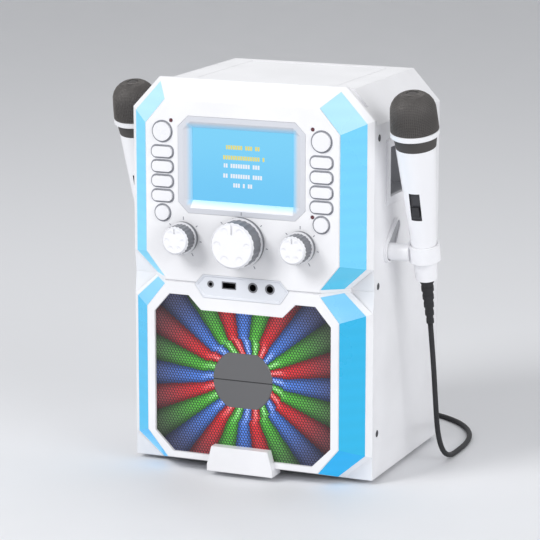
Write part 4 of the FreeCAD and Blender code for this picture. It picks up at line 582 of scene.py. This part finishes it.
class KaraokeGrille(bpy.types.Operator):
    """Build the perforated grille with the lit baffle behind it"""
    bl_idname = "karaoke.grille"
    bl_label = "Speaker grille"

    outline = (
        (0.0408, 0.1565), (0.0535, 0.1695), (0.0730, 0.1695),
        (0.0884, 0.1517), (0.0884, 0.0369), (0.0698, 0.0183),
    )
    sheet_depth = 0.0034
    sheet_margin = 0.0012
    sheet_thickness = 0.0007
    sheet_rows = 70
    sheet_columns = 45
    weld = 0.00002
    disc_radius = 0.030
    disc_half_height = 0.0262
    disc_half_groove = 0.0005
    disc_front = 0.0022
    disc_back = 0.0031
    disc_draft_x = 0.97
    disc_draft_z = 0.985
    disc_points = 32
    floor_radius = 0.0294
    floor_half_height = 0.0255
    floor_depth = 0.0028
    floor_thickness = 0.0004
    floor_points = 64

    def execute(self, context):
        light = context.scene.karaoke_light
        self.mesh(light.hole_pitch, light.hole_share)
        self.disc()
        made = material("Lit baffle", colour(26, 27, 31), 0.5)
        tree, shader = shader_of(made)
        rays = use(tree, "Speaker rays", {"Rays": float(light.rays)})
        put(tree, shader, "Emission Color", rays.outputs["Color"])
        put(tree, shader, "Emission Strength", light.ray_glow)
        # The cone and basket glow with the rays too: painted light from the ray lamps falling on them
        dress(made, "light_baffle", "speaker_cone", "speaker_basket")
        dress(lookup("Steel"), "speaker_magnet")
        return {"FINISHED"}

    def inside(self, x, z, margin):
        """True if a point lies in the opening grown by a margin."""
        corners = list(self.outline) + [(-a, b) for a, b in reversed(self.outline)]
        crossings = 0
        near = 1.0
        for (ax, az), (bx, bz) in zip(corners, corners[1:] + corners[:1]):
            if (az > z) != (bz > z) and x < ax + (z - az) / (bz - az) * (bx - ax):
                crossings += 1
            along = ((x - ax) * (bx - ax) + (z - az) * (bz - az)) / ((bx - ax) ** 2 + (bz - az) ** 2)
            along = min(1.0, max(0.0, along))
            near = min(near, math.hypot(x - ax - along * (bx - ax), z - az - along * (bz - az)))
        return crossings % 2 == 1 or near < margin

    def mesh(self, pitch, share):
        """Sheet of hexagonal cells, each with a hole."""
        build = bmesh.new()
        corners = [(math.sin(math.pi * k / 3), math.cos(math.pi * k / 3)) for k in range(6)]
        reach = pitch / math.sqrt(3)
        depth = FRONT + self.sheet_depth
        for row in range(-self.sheet_rows, self.sheet_rows + 1):
            z = SPEAKER_Z + row * pitch * math.sqrt(3) / 2
            for column in range(-self.sheet_columns, self.sheet_columns + 1):
                x = (column + 0.5 * (row % 2)) * pitch
                if not self.inside(x, z, self.sheet_margin):
                    continue
                outer = [build.verts.new((x + reach * a, depth, z + reach * b)) for a, b in corners]
                hole = [build.verts.new((x + reach * share * a, depth, z + reach * share * b))
                        for a, b in corners]
                for k in range(6):
                    n = (k + 1) % 6
                    build.faces.new((outer[k], hole[k], hole[n], outer[n]))
        bmesh.ops.remove_doubles(build, verts=build.verts, dist=self.weld)
        bmesh.ops.recalc_face_normals(build, faces=build.faces)
        mesh = bpy.data.meshes.new("grille_sheet")
        build.to_mesh(mesh)
        build.free()
        mesh.materials.append(lookup("Black mesh"))
        item = bpy.data.objects.new("grille_sheet", mesh)
        bpy.context.scene.collection.objects.link(item)
        thicken(item, self.sheet_thickness)
        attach(item, "cabinet")
        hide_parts("speaker_grille")

    def disc(self):
        """Plain flat-sided disc on the middle of the grille, in two halves either side of a groove."""
        for half, sign in (("upper", 1), ("lower", -1)):
            loop = []
            for i in range(self.disc_points + 1):
                angle = math.pi * i / self.disc_points
                rise = max(self.disc_half_groove, self.disc_radius * math.sin(angle))
                loop.append((self.disc_radius * math.cos(angle), sign * min(self.disc_half_height, rise)))
            front = []
            back = []
            for x, z in loop:
                near_z = SPEAKER_Z + z * self.disc_draft_z
                front.append(Vector((x * self.disc_draft_x, FRONT + self.disc_front, near_z)))
                back.append(Vector((x, FRONT + self.disc_back, SPEAKER_Z + z)))
            count = len(loop)
            faces = [tuple(range(count)), tuple(range(count, 2 * count))[::-1]]
            for i in range(count):
                j = (i + 1) % count
                faces.append((i, j, count + j, count + i))
            item = piece("grille_disc_" + half, front + back, faces, lookup("Grey disc"), smooth=False)
        self.disc_floor()

    def disc_floor(self):
        """Dark plate that shows in the disc's groove."""
        loop = []
        for i in range(self.floor_points):
            angle = 2 * math.pi * i / self.floor_points
            rise = max(-self.floor_half_height, self.floor_radius * math.sin(angle))
            x = self.floor_radius * math.cos(angle)
            z = SPEAKER_Z + min(self.floor_half_height, rise)
            loop.append(Vector((x, FRONT + self.floor_depth, z)))
        face = tuple(range(self.floor_points))
        item = piece("grille_disc_floor", loop, [face], lookup("Black plastic"), smooth=False)
        thicken(item, self.floor_thickness)


class KaraokeControls(bpy.types.Operator):
    """Finish the buttons, knobs and boards"""
    bl_idname = "karaoke.controls"
    bl_label = "Controls"

    def execute(self, context):
        keys = ["key_%s_%d" % (side, i + 1) for side in SIDES for i in range(KEYS_PER_SIDE)]
        rounds = [kind + side for kind in ("upper_button_", "lower_button_") for side in SIDES]
        dress(lookup("White keys"), *keys, *rounds)
        self.knobs(context.scene.karaoke_shell.keys)
        dress(lookup("Black plastic"), "rotary_controls")
        dress(lookup("Green board"), "circuit_boards")
        return {"FINISHED"}

    def knobs(self, white):
        """White faces, with painted shade: the sides round them are painted dark grey."""
        made = material("Knob", white, 0.34, coat=0.3, edge=0.0006)
        tree, shader = shader_of(made)
        normal = add(tree, "ShaderNodeSeparateXYZ", {0: add(tree, "ShaderNodeTexCoord").outputs["Normal"]})
        side = ramp(tree, normal.outputs["Y"], -0.80, -0.45)
        put(tree, shader, "Base Color", mix(tree, side, white, colour(104, 106, 112)))
        dress(made, *KNOB_RADII)


class KaraokeCabinet(bpy.types.Operator):
    """Finish the rear shell, deck, lid, grips and disc drive"""
    bl_idname = "karaoke.cabinet"
    bl_label = "Cabinet"

    grip_frame_x = 0.1200
    grip_hollow_x = 0.1150
    foot_back = -0.006
    foot_rise = -0.001
    foot_span = 0.021
    foot_low_radius = 0.011
    foot_high_radius = 0.0065
    foot_rim = (0.0016, 0.0024)
    foot_floor_x = 0.1226

    def execute(self, context):
        dress(lookup("White shell"), "rear_shell", "top_deck", "disc_lid")
        dress(lookup("Rubber"), "rubber_feet")
        dress(lookup("Black plastic"), "rear_sockets", "spindle_motor")
        dress(lookup("Grey trim"), "disc_chassis", "turntable", "laser_sled", "sled_gear")
        dress(lookup("Steel"), "sled_rods", "lid_hinge_pins")
        dress(lookup("Dark screw"), "case_screws")
        white = context.scene.karaoke_shell.white
        self.grips(white)
        self.holders(white)
        return {"FINISHED"}

    def grips(self, white):
        """White frame, with painted shade: the hollow behind it is painted grey."""
        made = material("Hand grip", white, 0.4, edge=0.0006)
        tree, shader = shader_of(made)
        x, y, z = place(tree)
        depth = ramp(tree, calc(tree, "ABSOLUTE", x), self.grip_frame_x, self.grip_hollow_x)
        put(tree, shader, "Base Color", mix(tree, depth, white, colour(142, 143, 148)))
        dress(made, "grip_cups")

    def holders(self, white):
        """White holders, with painted shade: a grey field inside the rim of each leaf-shaped foot."""
        made = material("Mic holder", white, 0.38, coat=0.2, edge=0.0008)
        tree, shader = shader_of(made)
        x, y, z = place(tree)
        right = calc(tree, "GREATER_THAN", x, 0.0)
        left_foot = MIC_POINTS["left"] + Vector((0, self.foot_back, self.foot_rise))
        apart = MIC_POINTS["right"] - MIC_POINTS["left"]
        back = calc(tree, "SUBTRACT", y, calc(tree, "MULTIPLY_ADD", right, apart.y, left_foot.y))
        rise = calc(tree, "SUBTRACT", z, calc(tree, "MULTIPLY_ADD", right, apart.z, left_foot.z))
        along = calc(tree, "DIVIDE", calc(tree, "ADD", back, rise), 2 * self.foot_span)
        share = calc(tree, "MINIMUM", calc(tree, "MAXIMUM", along, 0.0), 1.0)
        off_y = calc(tree, "SUBTRACT", back, calc(tree, "MULTIPLY", share, self.foot_span))
        off_z = calc(tree, "SUBTRACT", rise, calc(tree, "MULTIPLY", share, self.foot_span))
        square = calc(tree, "ADD", calc(tree, "MULTIPLY", off_y, off_y), calc(tree, "MULTIPLY", off_z, off_z))
        away = calc(tree, "SQRT", square)
        taper = self.foot_high_radius - self.foot_low_radius
        reach = calc(tree, "MULTIPLY_ADD", share, taper, self.foot_low_radius)
        inner = ramp(tree, calc(tree, "SUBTRACT", reach, away), *self.foot_rim)
        flat = calc(tree, "LESS_THAN", calc(tree, "ABSOLUTE", x), self.foot_floor_x)
        field = calc(tree, "MULTIPLY", inner, flat)
        put(tree, shader, "Base Color", mix(tree, field, white, colour(176, 177, 182)))
        dress(made, "mic_holders")


class KaraokeMicrophones(bpy.types.Operator):
    """Finish the microphones and weave their wire heads"""
    bl_idname = "karaoke.microphones"
    bl_label = "Microphones"

    profile = ((0.1216, 0.0217), (0.1260, 0.0215), (0.1303, 0.0213), (0.1347, 0.0210), (0.1390, 0.0207),
               (0.1430, 0.0203), (0.1470, 0.0189), (0.1505, 0.0165), (0.1530, 0.0137), (0.1546, 0.0110),
               (0.1558, 0.0050))
    bed_half_width = 0.0051
    bed_low = 0.0369
    bed_high = 0.0641
    bed_front = 0.0110
    wires = 72
    wire_thickness = 0.0007
    loop_shares = (0.0, 0.33, 0.67)

    def execute(self, context):
        for side in SIDES:
            dress(lookup("White shell"), "mic_%s_band" % side)
            dress(self.handle(side, context.scene.karaoke_shell.white), "mic_%s_handle" % side)
            dress(lookup("Black plastic"), "mic_%s_switch" % side)
            dress(lookup("Mic inside"), "mic_%s_head" % side)
            self.wire(side)
        return {"FINISHED"}

    def handle(self, side, white):
        """White handle with a dark bed under the sliding switch."""
        made = material("Mic handle " + side, white, 0.34, coat=0.3, edge=0.0004)
        tree, shader = shader_of(made)
        x, y, z = place(tree)
        seat = MIC_POINTS[side]
        rise = calc(tree, "SUBTRACT", z, seat.z)
        forward = calc(tree, "SUBTRACT", seat.y, y)
        along = calc(tree, "ADD", calc(tree, "MULTIPLY", rise, math.cos(MIC_LEAN)),
                     calc(tree, "MULTIPLY", forward, math.sin(MIC_LEAN)))
        out = calc(tree, "SUBTRACT", calc(tree, "MULTIPLY", forward, math.cos(MIC_LEAN)),
                   calc(tree, "MULTIPLY", rise, math.sin(MIC_LEAN)))
        across = calc(tree, "ABSOLUTE", calc(tree, "SUBTRACT", x, seat.x))
        mask = calc(tree, "LESS_THAN", across, self.bed_half_width)
        limits = (
            (along, "GREATER_THAN", self.bed_low),
            (along, "LESS_THAN", self.bed_high),
            (out, "GREATER_THAN", self.bed_front),
        )
        for value, operation, limit in limits:
            mask = calc(tree, "MULTIPLY", mask, calc(tree, operation, value, limit))
        put(tree, shader, "Base Color", mix(tree, mask, white, colour(52, 52, 57)))
        return made

    def wire(self, side):
        """Two families of crossing wires round the head."""
        count = self.wires
        loops = []
        for (along, radius), (next_along, next_radius) in zip(self.profile, self.profile[1:]):
            for share in self.loop_shares:
                loops.append((along + (next_along - along) * share, radius + (next_radius - radius) * share))
        loops.append(self.profile[-1])
        vertices = []
        faces = []
        for along, radius in loops:
            for k in range(count):
                vertices.append(mic_place(side, radius, 2 * math.pi * k / count, along))
        for i in range(len(loops) - 1):
            for k in range(count):
                n = (k + 1) % count
                faces.append((i * count + k, i * count + n, (i + 1) * count + n, (i + 1) * count + k))
        item = piece("mic_%s_wire" % side, vertices, faces, lookup("Mic wire"), "mic_" + side)
        lattice = item.modifiers.new("Wire", "WIREFRAME")
        lattice.thickness = self.wire_thickness
        lattice.use_even_offset = False


class KaraokeCord(bpy.types.Operator):
    """Lay the right microphone's cord round the back to its coil"""
    bl_idname = "karaoke.cord"
    bl_label = "Cord"

    route = (
        (0.1540, -0.004722, 0.144325), (0.1540, 0.005293, 0.105599), (0.1545, 0.0115, 0.0644),
        (0.1550, 0.0170, 0.0324), (0.1560, 0.0290, 0.0118), (0.1570, 0.0470, 0.0025),
        (0.1580, 0.0710, 0.0025), (0.1570, 0.1010, 0.0025), (0.1490, 0.1330, 0.0025),
        (0.1300, 0.1630, 0.0025), (0.0980, 0.1850, 0.0025), (0.0570, 0.1960, 0.0025),
        (0.0110, 0.1990, 0.0042), (-0.0350, 0.1990, 0.0042),
    )
    centre = Vector((-0.040, 0.1612, 0.0042))
    outer = 0.0378
    inner = 0.018
    pitch = 0.0066
    layer = 0.0058
    turns = 3
    layers = 4
    steps = 12
    plug_end = Vector((0.015, 0.1234, 0.0071))
    plug_depth = 0.005
    plug_lead = 0.020
    coil_leads = (0.006, 0.021)

    def execute(self, context):
        settings = context.scene.karaoke_cord
        points = self.centreline()
        vertices, faces = tube_mesh(points, settings.diameter / 2, settings.sides)
        item = piece("microphone_cord", vertices, faces, lookup("Rubber"), body=None)
        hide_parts("mic_cord", "mic_cord_coil")
        dress(lookup("Rubber"), "mic_cord_relief", "mic_cord_plug")
        dress(lookup("Black plastic"), "mic_cord_tie")
        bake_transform(item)
        return {"FINISHED"}

    def control_points(self):
        """Corners of the cord's line from the strain relief through the coil to the plug."""
        points = [Vector(point) for point in self.route]
        radii = []
        for layer in range(self.layers):
            for i in range(2 * self.turns + 1):
                step = i * self.pitch / 2
                radii.append(self.outer - step if layer % 2 == 0 else self.inner + step)
        per_layer = 2 * self.turns + 1
        for k in range(len(radii) - 1):
            mean = (radii[k] + radii[k + 1]) / 2
            shift = (radii[k] - radii[k + 1]) / 2 * (1 if k % 2 == 0 else -1)
            low = (k // per_layer) * self.layer
            high = ((k + 1) // per_layer) * self.layer
            reach = mean / math.cos(math.pi / self.steps / 2)
            for i in range(self.steps):
                share = (i + 0.5) / self.steps
                angle = math.pi * (k + share)
                rise = low + (high - low) * (3 - 2 * share) * share * share
                across = -reach * math.sin(angle)
                back = shift + reach * math.cos(angle)
                points.append(self.centre + Vector((across, back, rise)))
        last = self.centre + Vector((0, -self.outer, (self.layers - 1) * self.layer))
        ahead = Vector((1, 0, 0))
        points += [last + ahead * lead for lead in self.coil_leads]
        points += [self.plug_end + ahead * lead for lead in (-self.plug_lead, 0.0, self.plug_depth)]
        return points

    def centreline(self):
        """Points read from a smooth spline that the corners guide."""
        curve = bpy.data.curves.new("cord_line", "CURVE")
        curve.dimensions = "3D"
        curve.resolution_u = 4
        corners = self.control_points()
        spline = curve.splines.new("NURBS")
        spline.points.add(len(corners) - 1)
        for point, corner in zip(spline.points, corners):
            point.co = (*corner, 1.0)
        spline.order_u = 3
        spline.use_endpoint_u = True
        item = bpy.data.objects.new("cord_line", curve)
        bpy.context.scene.collection.objects.link(item)
        bpy.context.view_layer.update()
        mesh = bpy.data.meshes.new_from_object(item)
        points = [vertex.co.copy() for vertex in mesh.vertices]
        bpy.data.objects.remove(item)
        bpy.data.curves.remove(curve)
        bpy.data.meshes.remove(mesh)
        return points


class KaraokeStage(bpy.types.Operator):
    """Set the floor, the soft studio light and the camera"""
    bl_idname = "karaoke.stage"
    bl_label = "Stage"

    # Name, place, size and power of each lamp
    lamps = (
        ("key_light", (-1.5, -2.0, 2.2), 1.4, 58.0),
        ("fill_light", (2.4, -1.2, 1.2), 2.0, 32.0),
        ("top_light", (0.2, 0.8, 2.6), 1.4, 7.0),
    )
    lamp_aim = Vector((0, 0, 0.18))
    camera_aim = Vector((0.0005, -0.023, 0.1848))
    floor_half = 30
    light_level = 0.46
    seen_level = 0.88

    def execute(self, context):
        self.floor()
        self.world(context.scene)
        for name, where, size, power in self.lamps:
            self.lamp(name, where, size, power)
        self.camera(context.scene)
        context.scene.view_settings.view_transform = "Standard"
        return {"FINISHED"}

    def floor(self):
        made = material("Pale floor", colour(228, 229, 232), 0.6, grain=90.0, depth=0.02, tone=0.015)
        mesh = bpy.data.meshes.new("floor")
        half = self.floor_half
        corners = [(-half, -half, 0), (half, -half, 0), (half, half, 0), (-half, half, 0)]
        mesh.from_pydata(corners, [], [(0, 1, 2, 3)])
        mesh.materials.append(made)
        item = bpy.data.objects.new("floor", mesh)
        bpy.context.scene.collection.objects.link(item)

    def world(self, scene):
        """Even light, with a paler background behind the machine."""
        world = bpy.data.worlds.new("Studio")
        scene.world = world
        world.use_nodes = True
        tree = world.node_tree
        path = add(tree, "ShaderNodeLightPath")
        seen = calc(tree, "MAXIMUM", path.outputs["Is Camera Ray"], path.outputs["Is Glossy Ray"])
        seen = calc(tree, "MAXIMUM", seen, path.outputs["Is Transmission Ray"])
        level = calc(tree, "MULTIPLY_ADD", seen, self.seen_level - self.light_level, self.light_level)
        put(tree, tree.nodes["Background"], "Color", WORLD_TINT)
        put(tree, tree.nodes["Background"], "Strength", level)

    def lamp(self, name, where, size, power):
        light = bpy.data.lights.new(name, "AREA")
        light.shape = "DISK"
        light.size = size
        light.energy = power
        item = bpy.data.objects.new(name, light)
        item.location = where
        item.rotation_euler = (self.lamp_aim - Vector(where)).to_track_quat("-Z", "Y").to_euler()
        bpy.context.scene.collection.objects.link(item)

    def camera(self, scene):
        settings = scene.karaoke_stage
        az, el = settings.azimuth, settings.elevation
        back = Vector((math.sin(az) * math.cos(el), -math.cos(az) * math.cos(el), math.sin(el)))
        camera = bpy.data.cameras.new("Camera")
        camera.lens = settings.lens
        camera.sensor_width = 36.0
        camera.clip_end = 100.0
        item = bpy.data.objects.new("Camera", camera)
        item.location = self.camera_aim + back * settings.distance
        item.rotation_euler = (-back).to_track_quat("-Z", "Y").to_euler()
        scene.collection.objects.link(item)
        scene.camera = item


class KaraokePanel(bpy.types.Panel):
    """Buttons and settings of the karaoke machine"""
    bl_idname = "VIEW3D_PT_karaoke"
    bl_label = "Karaoke machine"
    bl_space_type = "VIEW_3D"
    bl_region_type = "UI"
    bl_category = "Karaoke"

    def draw(self, context):
        for operator in OPERATORS:
            self.layout.operator(operator.bl_idname)
        for name, kind in SETTINGS:
            block = getattr(context.scene, name)
            for key in kind.__annotations__:
                self.layout.prop(block, key)


SETTINGS = (
    ("karaoke_shell", KaraokeShellSettings),
    ("karaoke_light", KaraokeLightSettings),
    ("karaoke_cord", KaraokeCordSettings),
    ("karaoke_stage", KaraokeStageSettings),
)
OPERATORS = (KaraokeStage, KaraokeCord, KaraokeFront, KaraokeLights, KaraokeScreen, KaraokeGrille,
             KaraokeControls, KaraokeCabinet, KaraokeMicrophones)


def register():
    for name, kind in SETTINGS:
        bpy.utils.register_class(kind)
        setattr(bpy.types.Scene, name, PointerProperty(type=kind))
    for operator in OPERATORS:
        bpy.utils.register_class(operator)
    bpy.utils.register_class(KaraokePanel)


def unregister():
    bpy.utils.unregister_class(KaraokePanel)
    for operator in reversed(OPERATORS):
        bpy.utils.unregister_class(operator)
    for name, kind in reversed(SETTINGS):
        delattr(bpy.types.Scene, name)
        bpy.utils.unregister_class(kind)


def main():
    register()
    make_surface_group()
    make_ray_group()
    make_line_group()
    make_materials()
    bpy.ops.karaoke.stage()
    bpy.ops.karaoke.cord()
    bpy.ops.karaoke.front()
    bpy.ops.karaoke.lights()
    bpy.ops.karaoke.screen()
    bpy.ops.karaoke.grille()
    bpy.ops.karaoke.controls()
    bpy.ops.karaoke.cabinet()
    bpy.ops.karaoke.microphones()
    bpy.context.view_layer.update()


if __name__ == "__main__":
    main()
